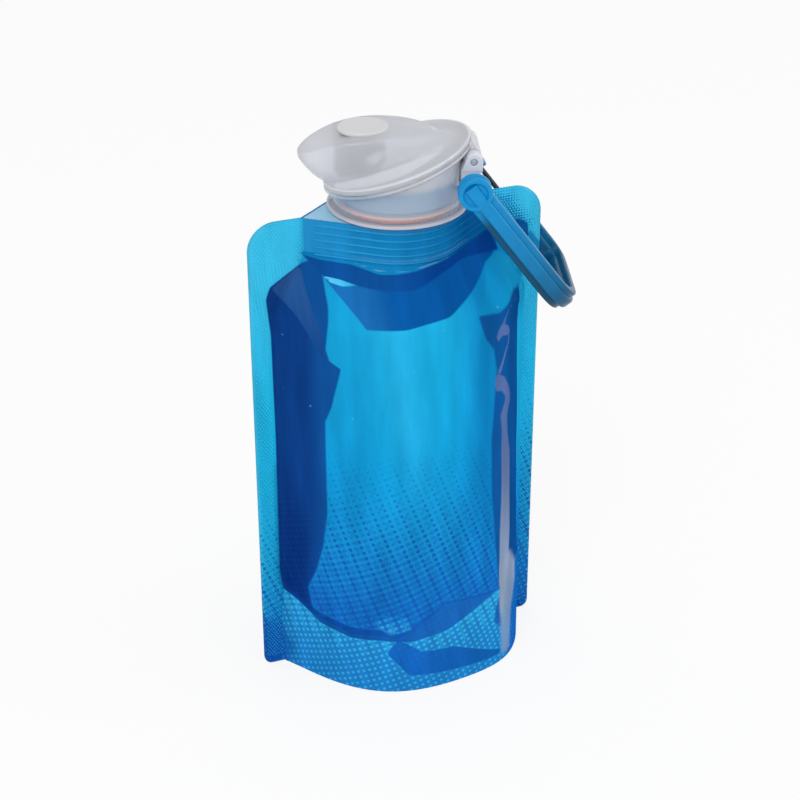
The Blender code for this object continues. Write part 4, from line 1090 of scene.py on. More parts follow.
def toned_plastic(name, axis, low, low_tone, high, high_tone, shine=0.15):
    """Plastic whose tone runs from one colour to another along an axis."""
    material, tree, shader = new_material(name)
    along = parts_of(tree, object_place(tree))[axis]
    tone = mix_colour(tree, map_range(tree, along, low, high), low_tone, high_tone)
    moulded_finish(tree, shader, tone, shine)
    return material


def metal(name, colour, roughness):
    """Drawn metal with fine marks."""
    material, tree, shader = new_material(name)
    marks = noise(tree, object_place(tree), 1400.0, 4.0)
    tone = mix_colour(tree, map_range(tree, marks, 0.3, 0.7), tuple(c * 0.8 for c in colour), colour)
    tree.links.new(tone, shader.inputs["Base Color"])
    worn = map_range(tree, marks, 0.3, 0.7, roughness - 0.06, roughness + 0.1)
    tree.links.new(worn, shader.inputs["Roughness"])
    shader.inputs["Metallic"].default_value = 1.0
    bump(tree, shader, marks, 0.1, 0.0002)
    return material


def frosted(name, colour, alpha, through, blur=0.42, stops=(), ring_shading=False, painted=(), coat=0.2):
    """Cloudy moulded plastic: stops tint it by height, and painted light and shade darken or brighten it."""
    material, tree, shader = new_material(name)
    place = object_place(tree)
    cloud = noise(tree, place, 45.0, 3.0)
    tone = mix_colour(tree, map_range(tree, cloud, 0.3, 0.7), tuple(c * 0.96 for c in colour), colour)
    level = parts_of(tree, place)[2]
    for low, high, soft, tint, share in stops:
        rising = map_range(tree, level, low - soft, low + soft, smoothly=True)
        falling = map_range(tree, level, high - soft, high + soft, 1.0, 0.0, smoothly=True)
        amount = math_node(tree, "MULTIPLY", math_node(tree, "MULTIPLY", rising, falling), share)
        tone = mix_colour(tree, amount, tone, tint)
    # Painted light and shade kept on the vertices: ring by ring, then in outlined spots
    if ring_shading:
        tone = scaled(tree, tone, kept_value(tree, "ring_light_tone").outputs["Fac"])
    for key, soft, factor in painted:
        away = kept_value(tree, key).outputs["Fac"]
        share = map_range(tree, away, soft / 2, -soft / 2, smoothly=True)
        tone = mix_colour(tree, share, tone, scaled(tree, tone, factor))
    tree.links.new(tone, shader.inputs["Base Color"])
    rough = map_range(tree, noise(tree, place, 300.0, 4.0), 0.3, 0.7, blur - 0.05, blur + 0.05)
    tree.links.new(rough, shader.inputs["Roughness"])
    shader.inputs["Alpha"].default_value = alpha
    shader.inputs["IOR"].default_value = 1.3
    shader.inputs["Transmission Weight"].default_value = through
    shader.inputs["Coat Weight"].default_value = coat
    shader.inputs["Coat Roughness"].default_value = 0.12
    bump(tree, shader, noise(tree, place, 500.0, 2.0), 0.05, 0.0002)
    return material


def dress(name, material):
    """Gives a carried-over node its finish."""
    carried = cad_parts[name]
    carried.data.materials.clear()
    carried.data.materials.append(material)


# Places

def cap_place():
    """From the cap's own axes to the model's, in metres."""
    return Matrix.Rotation(CAP_YAW, 4, "Z") @ Matrix.Scale(MM, 4)


def carabiner_place():
    """From the carabiner's own axes to the model's, in metres: X across it, Y along its bar, -Z along it."""
    swing = Matrix.Translation((BAR_X, LOOP_SHIFT, BAR_Z)) @ Matrix.Rotation(-HANG_ANGLE, 4, "Y")
    return cap_place() @ swing


def moved(points, matrix):
    """Points carried by a matrix."""
    flat = np.asarray(points, float).reshape(-1, 3)
    turn = np.array(matrix.to_3x3())
    return flat @ turn.T + np.array(matrix.translation)


# Cap and lid

def rim_plane(x):
    """Height of the slanted plane of the lid's rim at each x."""
    return RIM_Z + RIM_SLOPE * (x - RIM_CENTRE_X)


def plate_z(x):
    """Height of the lid's top along its middle line."""
    share = np.maximum(0.0, (LID_PEAK_X - x) / (LID_PEAK_X - BEAK_TIP_X))
    return np.where(x < LID_PEAK_X, LID_PEAK_Z - BEAK_DROP * share ** BEAK_POWER,
                    LID_PEAK_Z - 0.006 * (x - LID_PEAK_X) ** 2)


def rim_ring(angle, inset_x, inset_y, shift, step, lift):
    """A ring a step above the lid's rim, drawn in by two insets; its lift fades towards both ends."""
    x = RIM_CENTRE_X + RIM_SHIFT + shift + (RIM_HALF_LENGTH - inset_x) * np.cos(angle)
    y = (RIM_HALF_WIDTH - inset_y) * np.sin(angle)
    lifted = lift * np.sin(angle) ** 2 * np.where(np.sin(angle) > 0, BACK_LIFT, 1.0)
    return np.stack([x, y, rim_plane(x) + step + lifted], axis=-1)


def plate_ring(angle, low_x, high_x, half_width, drop):
    """A long oval ring that follows the lid's top, lowered by a drop."""
    x = (low_x + high_x) / 2 + (high_x - low_x) / 2 * np.cos(angle)
    side = np.sin(angle)
    y = half_width * np.copysign(np.abs(side) ** 0.75, side)
    return np.stack([x, y, plate_z(x) - drop], axis=-1)


def rounded(rings, times):
    """More rings between the given ones, which round off their edges; the first and last stay."""
    for _ in range(times):
        near = rings[:-1] * 0.75 + rings[1:] * 0.25
        far = rings[:-1] * 0.25 + rings[1:] * 0.75
        between = np.stack([near, far], axis=1).reshape(-1, *rings.shape[1:])
        rings = np.concatenate([rings[:1], between[1:-1], rings[-1:]])
    return rings


def ring_mesh(rings, joined=False):
    """Vertices and faces through closed rings; the ends are fans, or the last ring joins the first."""
    count = rings.shape[1]
    total = rings.shape[0]
    vertices = rings.reshape(-1, 3)
    faces = []
    for low in range(total if joined else total - 1):
        high = (low + 1) % total
        for k in range(count):
            after = (k + 1) % count
            faces.append((low * count + k, low * count + after, high * count + after, high * count + k))
    if not joined:
        ends = np.stack([rings[0].mean(axis=0), rings[-1].mean(axis=0)])
        vertices = np.concatenate([vertices, ends])
        last = (total - 1) * count
        for k in range(count):
            after = (k + 1) % count
            faces.append((after, k, total * count))
            faces.append((last + k, last + after, total * count + 1))
    return vertices, faces


def closed_piece(name, vertices, faces, matrix, material):
    """A closed piece placed by a matrix, with its normals turned outwards."""
    piece = piece_from(name, moved(vertices, matrix), faces, material)
    turn_outwards(piece)
    return piece


# Outlines (x, z) in the lid's own frame: the painted light on the ledge, and the painted shade where the plug
# shows through the wall
LEDGE_LIGHT = [(-18.2, 158.4), (-17.7, 158.9), (-12.9, 161.5), (-6.6, 164.2), (-0.5, 166.3), (5.9, 168.0),
              (12.2, 168.8), (9.6, 168.1), (5.7, 166.7), (-0.6, 164.3), (-6.9, 162.1), (-13.0, 159.9),
              (-17.6, 158.1)]
PLUG_SHADE = [(-17.8, 170.0), (-14.0, 171.0), (-9.1, 171.5), (-4.1, 171.1), (-3.7, 169.0), (-4.0, 166.9),
              (-6.0, 164.6), (-11.0, 162.6), (-16.4, 160.9), (-18.0, 163.0)]


def lid_shell(material):
    """The hollow lid with rounded edges: rim, ledge, apron, beak and top outside, and its inner wall."""
    angle = np.linspace(0, 2 * math.pi, LID_COLUMNS, endpoint=False)
    ledge = rim_ring(angle, 2.3, 7.3, -2.6, RIM_STEP, LEDGE_HEIGHT - RIM_STEP)
    plate_edge = plate_ring(angle, BEAK_TIP_X, 10.8, PLATE_HALF_WIDTH, 0.8)
    inward = (0.45 + 0.3 * np.abs(np.sin(angle)))[:, None]
    inwards = np.concatenate([inward, inward, np.full_like(inward, 0.35)], axis=1)
    apron = ledge + (plate_edge - ledge) * inwards
    outer = np.stack([
        rim_ring(angle, 0.1, 0.1, 0, 0.0, 0), rim_ring(angle, 0, 0, 0, 0.15, 0),
        rim_ring(angle, 0, 0, 0, 1.2, 0), rim_ring(angle, 0.2, 0.35, -0.2, 1.45, 0.1),
        rim_ring(angle, 0.75, 1.5, -0.75, RIM_STEP, 0.7),
        rim_ring(angle, 1.4, 4.1, -1.6, RIM_STEP, 2.2), rim_ring(angle, 1.9, 5.5, -2.1, RIM_STEP + 0.1, 2.9),
        ledge, apron, plate_edge, plate_ring(angle, BEAK_TIP_X + 0.9, 9.4, PLATE_HALF_WIDTH - 1.2, 0.0),
        plate_ring(angle, -18.0, 2.0, 4.5, -0.1), plate_ring(angle, -12.0, -6.0, 1.5, -0.1)])
    inner = np.stack([
        plate_ring(angle, -12.0, -6.0, 1.5, LID_CEILING), plate_ring(angle, -16.0, 0.0, 3.5, LID_CEILING),
        plate_ring(angle, -22.0, 7.0, 7.6, LID_CEILING), rim_ring(angle, 4.4, 9.7, -2.1, 0.4, 3.0),
        rim_ring(angle, 2.6, 4.4, -1.1, 0.3, 1.3), rim_ring(angle, LID_WALL, LID_WALL, 0, 0, 0)])
    # Painted light and shade of each outer ring, from the rim to the top
    bright = np.array([0.7, 0.74, 0.84, 0.88, 0.86, 0.88, 0.94, 1.02, 0.98, 1.04, 0.98, 1.0, 1.0])
    order = np.arange(len(bright), dtype=float)[:, None, None]
    ring_order = rounded(np.repeat(order, len(angle), axis=1), 3)[::-1, :, 0].ravel()
    # The painted highlight along the rim's edge lies about the third ring
    highlight_away = np.abs(ring_order - 2.75) - 0.6
    outer_tone = rounded(np.repeat(bright[:, None, None], len(angle), axis=1), 3)[..., 0]
    outer, inner = rounded(outer, 3), rounded(inner, 2)
    rings = np.concatenate([outer[::-1], inner[::-1]])
    vertices, faces = ring_mesh(rings)
    outside = np.arange(len(vertices)) < outer.shape[0] * len(angle)
    piece = closed_piece("lid_shell", vertices, faces, cap_place(), material)
    tones = np.concatenate([outer_tone[::-1].ravel(), np.full(inner.shape[0] * len(angle) + 2, 0.95)])
    store(piece.data, "ring_light_tone", "FLOAT", tones)
    # Distances to the ledge's painted light and the plug's painted shade, kept on the outside only
    for key, outline in (("lid_ledge_light", LEDGE_LIGHT), ("lid_plug_shade", PLUG_SHADE)):
        away = outline_distance(outline, vertices[:, 0], vertices[:, 2])
        store(piece.data, key, "FLOAT", np.where(outside, away, UNPAINTED))
    rim_highlight = np.concatenate([highlight_away, np.full(len(vertices) - len(highlight_away), UNPAINTED)])
    store(piece.data, "lid_rim_highlight", "FLOAT", rim_highlight)
    return piece


def slanted_ring(angle, radius, drop, centre=0.0):
    """A circle in plan that lies in the rim's plane, lowered by a drop."""
    x = centre + radius * np.cos(angle)
    return np.stack([x, radius * np.sin(angle), rim_plane(x) - drop], axis=-1)


def flat_ring(angle, radius, height):
    """A level circle."""
    return np.stack([radius * np.cos(angle), radius * np.sin(angle), np.full(len(angle), height)], axis=-1)


def soft_edges(rings, reach):
    """Rounds the edges between closed rings of a loop by at most the reach, and keeps the walls plain."""
    made = []
    total = len(rings)
    for k in range(total):
        here, before, after = rings[k], rings[k - 1], rings[(k + 1) % total]
        back, on = before - here, after - here
        back_length = np.linalg.norm(back, axis=-1, keepdims=True)
        on_length = np.linalg.norm(on, axis=-1, keepdims=True)
        size = np.minimum(reach, 0.3 * np.minimum(back_length, on_length))
        first, last = here + back / back_length * size, here + on / on_length * size
        made.append(here + back / back_length * size * 1.3)
        for share in (0.0, 0.25, 0.5, 0.75, 1.0):
            made.append(first * (1 - share) ** 2 + 2 * share * (1 - share) * here + last * share ** 2)
        made.append(here + on / on_length * size * 1.3)
    return np.stack(made)


def cap_shell(material):
    """The screw cap: plug tube, floor, skirt and slanted deck with the mouthpiece's hole."""
    angle = np.linspace(0, 2 * math.pi, CAP_COLUMNS, endpoint=False)
    under = SEAT_GAP + DECK_THICKNESS
    inner = CAP_RADIUS - CAP_WALL
    hole = MOUTH_RADIUS + SEAT_GAP
    skirt = CAP_RADIUS - SKIRT_LIP
    level = ((inner, CAP_FLOOR_TOP), (CAP_BORE_RADIUS, CAP_FLOOR_TOP), (CAP_BORE_RADIUS, PLUG_TUBE_END),
             (THREAD_CORE_RADIUS, PLUG_TUBE_END), (THREAD_CORE_RADIUS, CAP_SEAT_Z), (skirt, CAP_SEAT_Z),
             (skirt, CAP_SKIRT_Z), (LIP_RADIUS, CAP_SKIRT_Z), (LIP_RADIUS, CAP_SKIRT_Z + 0.7),
             (CAP_RADIUS + 0.1, CAP_SKIRT_Z + 1.3), (CAP_RADIUS, CAP_SEAT_Z + 1.2))
    rings = np.stack([
        slanted_ring(angle, hole, under, MOUTH_X), slanted_ring(angle, inner, under),
        *(flat_ring(angle, radius, height) for radius, height in level),
        slanted_ring(angle, CAP_RADIUS, under + 1.2), slanted_ring(angle, DECK_RADIUS, under - 0.4),
        slanted_ring(angle, DECK_RADIUS, SEAT_GAP), slanted_ring(angle, hole, SEAT_GAP, MOUTH_X)])
    vertices, faces = ring_mesh(soft_edges(rings, 0.5), joined=True)
    piece = closed_piece("cap_shell", vertices, faces, cap_place(), material)
    # How far each ring covers what is behind it
    covering = [0.5, 0.5, 0.5, 0.5, 0.5, 0.5, 0.5, 0.25, 0.15, 0.8, 0.8, 0.25, 0.5, 0.55, 0.6, 0.6, 0.6]
    store(piece.data, "cap_cover", "FLOAT", np.repeat(covering, len(vertices) // len(covering)))
    return piece


def reach_to(outline, centre, angle):
    """Distance from a centre to an outline of (x, z) corners at each angle."""
    best = np.full(len(angle), 1e9)
    across, up = np.cos(angle), np.sin(angle)
    for (ax, az), (bx, bz) in zip(outline, outline[1:] + outline[:1]):
        dx, dz = bx - ax, bz - az
        turn = across * dz - up * dx
        turn = np.where(np.abs(turn) < 1e-9, 1e-9, turn)
        far = ((ax - centre[0]) * dz - (az - centre[1]) * dx) / turn
        along = ((ax - centre[0]) * up - (az - centre[1]) * across) / turn
        best = np.where((far > 0) & (along >= -1e-6) & (along <= 1 + 1e-6), np.minimum(best, far), best)
    return best


def bored_block(name, outline, bore, low, high, material):
    """A block with an (x, z) outline between two places on the pin's axis, with a round bore."""
    angle = np.linspace(0, 2 * math.pi, TURNED_COLUMNS, endpoint=False)
    far = reach_to(outline, (PIN_X, PIN_Z), angle)
    near = np.full(TURNED_COLUMNS, bore)
    rings = []
    for reach, y in ((far, low), (far, high), (near, high), (near, low)):
        rings.append(np.stack([PIN_X + reach * np.cos(angle), np.full(TURNED_COLUMNS, y),
                               PIN_Z + reach * np.sin(angle)], axis=-1))
    vertices, faces = ring_mesh(soft_edges(np.stack(rings), 0.35), joined=True)
    return closed_piece(name, vertices, faces, cap_place(), material)


def round_the_pin(first, last):
    """Places round the pin, every five degrees between two counts, on the knuckle's radius."""
    turns = (math.radians(5 * k) for k in range(first, last))
    return [(PIN_X + KNUCKLE_RADIUS * math.cos(a), PIN_Z + KNUCKLE_RADIUS * math.sin(a)) for a in turns]


def cap_clip(material):
    """The open clip on the cap's side that snaps over the carabiner's bar."""
    opening = math.asin(CLIP_MOUTH / BAR_BORE)
    angle = np.linspace(opening, 2 * math.pi - opening, CLIP_STEPS)
    low_x, high_x = CAP_RADIUS - 1.2, BAR_X + BAR_BORE + 0.6
    high_z, low_z = BAR_Z + BAR_BORE + CLIP_WALL, BAR_Z - BAR_BORE - CLIP_WALL
    outline = [(low_x, low_z), (high_x, low_z), (high_x, high_z), (low_x, high_z)]
    sections = []
    for turn, far in zip(angle, reach_to(outline, (BAR_X, BAR_Z), angle)):
        corners = ((BAR_BORE, -CLIP_HALF), (far, -CLIP_HALF), (far, CLIP_HALF), (BAR_BORE, CLIP_HALF))
        sections.append([(BAR_X + radius * math.cos(turn), y, BAR_Z + radius * math.sin(turn))
                         for radius, y in corners])
    vertices, faces = ring_mesh(np.array(sections))
    piece = closed_piece("cap_clip", vertices, faces, cap_place(), material)
    soften(piece, 0.0003)
    return piece


def cap_ears(material):
    """The two ears that hold the lid's pin."""
    foot = BAR_Z + BAR_BORE + CLIP_WALL - 0.8
    outline = [(PIN_X + KNUCKLE_RADIUS - 0.2, foot), *round_the_pin(0, 28),
               (CAP_RADIUS - 1.0, foot + 1.2), (CAP_RADIUS - 1.0, foot)]
    return [bored_block("hinge_ear_front", outline, EAR_BORE, -CLIP_HALF, -EAR_INNER, material),
            bored_block("hinge_ear_back", outline, EAR_BORE, EAR_INNER, CLIP_HALF, material)]


def lid_knuckle(material):
    """The knuckle under the lid's rim: a tube round the pin with a strap up into the rim."""
    rim_end = RIM_CENTRE_X + RIM_SHIFT + RIM_HALF_LENGTH
    outline = [*round_the_pin(-45, 10), (rim_end - 0.1, rim_plane(rim_end) + 0.5),
               (rim_end - LID_WALL + 0.1, rim_plane(rim_end - LID_WALL) + 0.5)]
    return bored_block("lid_knuckle", outline, PIN_BORE, -KNUCKLE_HALF, KNUCKLE_HALF, material)


def soften(piece, width):
    """Rounds a piece's sharp edges and keeps its flats flat."""
    rounding = piece.modifiers.new("rounding", "BEVEL")
    rounding.width = width
    rounding.segments = 3
    rounding.limit_method = "ANGLE"
    rounding.angle_limit = math.radians(40)
    piece.data = evaluated_mesh(piece, piece.name)
    piece.modifiers.clear()
    piece.data.set_sharp_from_angle(angle=math.radians(35))


def turned_rings(profile, centre_x, count):
    """Rings of a turned shape about an upright axis, from (radius, height) points."""
    angle = np.linspace(0, 2 * math.pi, count, endpoint=False)
    return np.stack([flat_ring(angle, radius, height) + (centre_x, 0.0, 0.0) for radius, height in profile])


def lid_disc(material):
    """The round disc let into the lid's top, with a soft raised rim."""
    low = float(plate_z(np.float64(MOUTH_X))) - 0.5
    profile = [(0.5, low), (DISC_RADIUS - 0.1, low), (DISC_RADIUS, low + 0.1), (DISC_RADIUS, low + 0.8),
               (DISC_RADIUS - 0.5, low + 1.2), (DISC_RADIUS - 1.4, low + 1.1), (2.0, low + 1.05),
               (0.3, low + 1.05)]
    rings = rounded(turned_rings(profile, MOUTH_X, TURNED_COLUMNS), 2)
    return closed_piece("round_disc", *ring_mesh(rings), cap_place(), material)


# Carabiner

def loop_plastic(name, colour):
    """Moulded plastic with painted light and shade in the loop's own axes: lighter near the bar, painted
    shade towards its far end and along its underside.
    """
    material, tree, shader = new_material(name)
    back = carabiner_place().inverted()
    own = parts_of(tree, object_place(tree, (1 / MM,) * 3, tuple(back.translation), tuple(back.to_euler())))
    across, along = own[0], own[2]
    # Painted light near the bar, painted shade towards the far end and along the underside
    lit, middle, dark = (tuple(factor * channel for channel in colour) for factor in (1.14, 0.84, 0.2))
    tone = mix_colour(tree, map_range(tree, along, -4.0, -26.0), lit, middle)
    tone = mix_colour(tree, map_range(tree, along, -26.0, -48.0), tone, dark)
    underside_shade = map_range(tree, across, -1.2, -2.2, 0.0, 0.85, smoothly=True)
    underside_shade = math_node(tree, "MULTIPLY", underside_shade, map_range(tree, along, -5.0, -10.0))
    moulded_finish(tree, shader, mix_colour(tree, underside_shade, tone, dark), 0.22)
    return material


def loop_points():
    """Middle line of the loop as (across the bar, along the loop, scale of its section)."""
    half = LOOP_WIDTH / 2
    end = LOOP_LENGTH - FRAME_WIDTH / 2
    starts = np.radians([85, 72, 58, 44, 30, 15])
    points = [(-half, FRAME_WIDTH / 2 * math.sin(angle), math.cos(angle)) for angle in starts]
    points += [(-half, -run, 1.0) for run in np.linspace(-0.6, end - NEAR_CORNER, 9)[:-1]]
    for degrees in range(180, 89, -6):
        angle = math.radians(degrees)
        points.append((-half + NEAR_CORNER * (1 + math.cos(angle)),
                       -end + NEAR_CORNER * (1 - math.sin(angle)), 1.0))
    for degrees in range(90, -1, -9):
        angle = math.radians(degrees)
        slim = 1.0 - (1.0 - FAR_ARM_SCALE) * (0.6 - degrees / 150)
        points.append((half - FAR_CORNER * (1 - math.cos(angle)),
                       -end + FAR_CORNER * (1 - math.sin(angle)), slim))
    points += [(half, -run, FAR_ARM_SCALE) for run in np.linspace(end - FAR_CORNER - 3.0, NOSE_START, 5)]
    return points


def carabiner_loop(material):
    """The open loop: a rounded core and two side lips swept along its middle line."""
    points = loop_points()
    path = point_cloud([(x * MM, y * MM, 0.0) for x, y, _ in points],
                       [(k, k + 1) for k in range(len(points) - 1)])
    scale = path.data.attributes.new("section_scale", "FLOAT", "POINT")
    scale.data.foreach_set("value", [point[2] for point in points])
    made = Tree("carabiner_sweep", [
        ("Core Width", "NodeSocketFloat"), ("Core Thickness", "NodeSocketFloat"),
        ("Lip Width", "NodeSocketFloat"), ("Lip Thickness", "NodeSocketFloat"),
        ("Material", "NodeSocketMaterial")])
    start = made.start.outputs
    line = made.add("GeometryNodeMeshToCurve", {0: start["Geometry"]})
    upright = made.add("GeometryNodeSetCurveNormal", {"Curve": line.outputs[0]}, mode="Z_UP")
    kept = made.add("GeometryNodeInputNamedAttribute", {"Name": "section_scale"}, data_type="FLOAT")
    sized = made.add("GeometryNodeSetCurveRadius", {"Curve": upright.outputs[0], "Radius": kept.outputs[0]})
    bars = []
    for bar, rounding in (("Core", CORE_ROUNDING), ("Lip", LIP_ROUNDING)):
        plain = made.add("GeometryNodeCurvePrimitiveQuadrilateral", {
            "Width": start[f"{bar} Width"], "Height": start[f"{bar} Thickness"]})
        soft = made.add("GeometryNodeFilletCurve", {
            "Curve": plain.outputs[0], "Radius": rounding * MM, "Count": 5}, mode="POLY")
        swept = made.add("GeometryNodeCurveToMesh", {
            "Curve": sized.outputs[0], "Profile Curve": soft.outputs[0], "Fill Caps": True})
        bars.append(swept.outputs[0])
    joined = made.add("GeometryNodeJoinGeometry")
    for bar in bars[::-1]:
        made.tree.links.new(bar, joined.inputs[0])
    made.finish(joined.outputs[0])
    piece = made.run("carabiner_loop", path, {
        "Core Width": FRAME_WIDTH * MM, "Core Thickness": CORE_THICKNESS * MM, "Lip Width": LIP_WIDTH * MM,
        "Lip Thickness": FRAME_THICKNESS * MM, "Material": material})
    upright_to_loop = Matrix(((0, 0, 1, 0), (1, 0, 0, 0), (0, 1, 0, 0), (0, 0, 0, 1)))
    piece.data.transform(carabiner_place() @ Matrix.Scale(1 / MM, 4) @ upright_to_loop)
    piece.data.set_sharp_from_angle(angle=math.radians(50))
    return piece


def carabiner_heads(material):
    """The two round heads with the bar between them, and the fork that holds the gate."""
    half = LOOP_WIDTH / 2
    arm = FRAME_WIDTH / 2
    pieces = []
    near, far = -half - arm, half + arm - 0.6
    # The bar's outline as (radius, place along it), from the near head to the far one
    profile = [(0.3, near + 0.9), (3.3, near + 0.9), (3.5, near + 0.1), (4.4, near),
               (HEAD_RADIUS, near + 0.4), (HEAD_RADIUS, near + 1.6), (4.2, near + 2.2), (4.2, near + 3.0),
               (HEAD_RADIUS, near + 3.5),
               (HEAD_RADIUS, -half + arm), (4.4, -half + arm + 0.3), (BAR_RADIUS, -half + arm + 0.3),
               (BAR_RADIUS, half - arm - 0.3), (3.1, half - arm - 0.3), (FAR_HEAD_RADIUS, half - arm + 0.1),
               (FAR_HEAD_RADIUS, far - 0.5), (3.0, far), (0.3, far)]
    rings = rounded(turned_rings(profile, 0.0, BAR_COLUMNS)[..., [0, 2, 1]], 1)
    pieces.append(closed_piece("carabiner_bar", *ring_mesh(rings), carabiner_place(), material))
    slot = WIRE_RADIUS + SEAT_GAP
    cheek = FORK_THICKNESS / 2 - 0.5
    for number, (low, high) in enumerate(((-cheek, -slot), (slot, cheek)), 1):
        corners = [(half - arm + 0.2, -2.2), (half + arm - 0.4, -2.2), (half + arm - 0.4, -GATE_PIVOT - 1.6),
                   (half + arm - 1.4, -GATE_PIVOT - 2.6), (half - arm + 1.2, -GATE_PIVOT - 2.6),
                   (half - arm + 0.2, -GATE_PIVOT - 1.6)]
        rings = np.array([[(x, y, z) for y, z in corners] for x in (low, high)])
        fork = closed_piece(f"gate_cheek_{number}", *ring_mesh(rings), carabiner_place(), material)
        soften(fork, 0.0003)
        pieces.append(fork)
    return pieces


# Operators

class BOTTLE_OT_films(bpy.types.Operator):
    """Builds the front and back films with their creases, paint and print"""
    bl_idname = "bottle.films"
    bl_label = "Pouch Films"

    def execute(self, context):
        settings = context.scene.bottle_pouch
        for name, side, folds, replaced, slot in (("front_film", -1, FRONT_FOLDS, "front_panel", "film"),
                                                  ("back_film", 1, BACK_FOLDS, "back_panel", "film_back")):
            piece = film_wall(name, side, film_material(name, settings, folds), settings)
            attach(piece, "pouch")
            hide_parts(replaced)
        base = base_film(film_material("base_film", settings, ()))
        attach(base, "pouch")
        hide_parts("base_gusset")
        return {"FINISHED"}


class BOTTLE_OT_seals(bpy.types.Operator):
    """Presses the pattern into the side seals and the ribs into the film at the spout"""
    bl_idname = "bottle.seals"
    bl_label = "Seals and Weld Ribs"

    def execute(self, context):
        settings = context.scene.bottle_pouch
        seal = toned_plastic("pressed_seal", 2, 0.004, SEAL_POINT_LOW, 0.09, SEAL_POINT_HIGH)
        points = seal_pattern(settings, seal)
        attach(points, "pouch")
        rib = toned_plastic("pressed_rib", 0, -0.012, RIB_LEFT, 0.017, RIB_RIGHT, 0.0)
        for name, side in (("front_weld_ribs", -1), ("back_weld_ribs", 1)):
            ribs = weld_ribs(settings, rib, side, name)
            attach(ribs, "pouch")
        return {"FINISHED"}


class BOTTLE_OT_spout(bpy.types.Operator):
    """Gives the welded spout and its gasket their finishes"""
    bl_idname = "bottle.spout"
    bl_label = "Spout and Gasket"

    def execute(self, context):
        settings = context.scene.bottle_cap
        dress("spout_fitment", frosted("frosted_spout", SPOUT_BLUE, 1.0, 0.0))
        dress("neck_gasket", plain_plastic("gasket_silicone", tuple(settings.gasket), 0.45))
        return {"FINISHED"}


class BOTTLE_OT_cap(bpy.types.Operator):
    """Gives the screw cap and its drinking tube their finishes"""
    bl_idname = "bottle.cap"
    bl_label = "Screw Cap"

    def execute(self, context):
        settings = context.scene.bottle_cap
        # The window above the gasket gets the painted blue light of the water seen through the wall, the foot
        # a grey tint
        tint = ((0.1520, 0.1590, 0.0012, CAP_WATER_LIGHT_BLUE, 0.6), (0.1480, 0.1503, 0.0003, CAP_FOOT_GREY, 0.9))
        material = frosted("frosted_cap", tuple(settings.plastic), 0.5, 0.0, 0.3, tint, coat=0.6)
        tree = material.node_tree
        covering = kept_value(tree, "cap_cover").outputs["Fac"]
        tree.links.new(covering, tree.nodes["Principled BSDF"].inputs["Alpha"])
        shell = cap_shell(material)
        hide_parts("cap_body")
        side = frosted("frosted_clip", tuple(settings.plastic), 0.86, 0.0, 0.3, coat=0.6)
        for piece in (shell, cap_clip(side), *cap_ears(side)):
            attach(piece, "cap")
        dress("mouthpiece", frosted("mouthpiece_plastic", MOUTHPIECE_GREY, 1.0, 0.0))
        dress("hinge_pin", metal("hinge_steel", PIN_STEEL, 0.5))
        return {"FINISHED"}


class BOTTLE_OT_lid(bpy.types.Operator):
    """Gives the flip lid, its disc and its plug their finishes"""
    bl_idname = "bottle.lid"
    bl_label = "Flip Lid"

    def execute(self, context):
        settings = context.scene.bottle_cap
        plastic = frosted("frosted_knuckle", tuple(settings.plastic), 1.0, 0.3, 0.4)
        # Painted light on the ledge, painted shade where the plug shows through and a painted highlight along
        # the rim
        spots = (("lid_ledge_light", 0.5, 1.3), ("lid_plug_shade", 1.8, 0.8), ("lid_rim_highlight", 0.3, 1.42))
        shell = lid_shell(frosted("frosted_lid", tuple(settings.plastic), 1.0, 0.5, 0.4,
                                  ring_shading=True, painted=spots, coat=0.5))
        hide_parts("lid")
        for piece in (shell, lid_knuckle(plastic)):
            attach(piece, "flip_lid")
        disc = lid_disc(frosted("lid_disc_plastic", DISC_GREY, 1.0, 0.1))
        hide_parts("lid_disc")
        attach(disc, "flip_lid")
        dress("lid_plug", plain_plastic("plug_silicone", tuple(settings.plug), 0.5))
        return {"FINISHED"}


class BOTTLE_OT_carabiner(bpy.types.Operator):
    """Gives the carabiner, its wire gate and its rivet their finishes"""
    bl_idname = "bottle.carabiner"
    bl_label = "Carabiner"

    def execute(self, context):
        settings = context.scene.bottle_carabiner
        plastic = loop_plastic("carabiner_plastic", tuple(settings.plastic))
        loop = carabiner_loop(plastic)
        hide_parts("carabiner_frame")
        for piece in (loop, *carabiner_heads(plastic)):
            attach(piece, "carabiner")
        dress("gate_wire", plain_plastic("coated_wire", tuple(settings.wire), 0.3, coat=0.4))
        dress("gate_rivet", metal("rivet_steel", RIVET_STEEL, 0.3))
        return {"FINISHED"}


class BOTTLE_OT_stage(bpy.types.Operator):
    """Builds the floor, the soft lights, the surround and the camera"""
    bl_idname = "bottle.stage"
    bl_label = "Stage"

    def execute(self, context):
        settings = context.scene.bottle_stage
        build_floor()
        build_world(settings)
        soft_light("key_light", KEY_PLACE, KEY_SIZE, settings.key_power)
        soft_light("side_light", SIDE_PLACE, SIDE_SIZE, settings.key_power * SIDE_SHARE)
        build_camera()
        context.scene.view_settings.view_transform = "Standard"
        return {"FINISHED"}


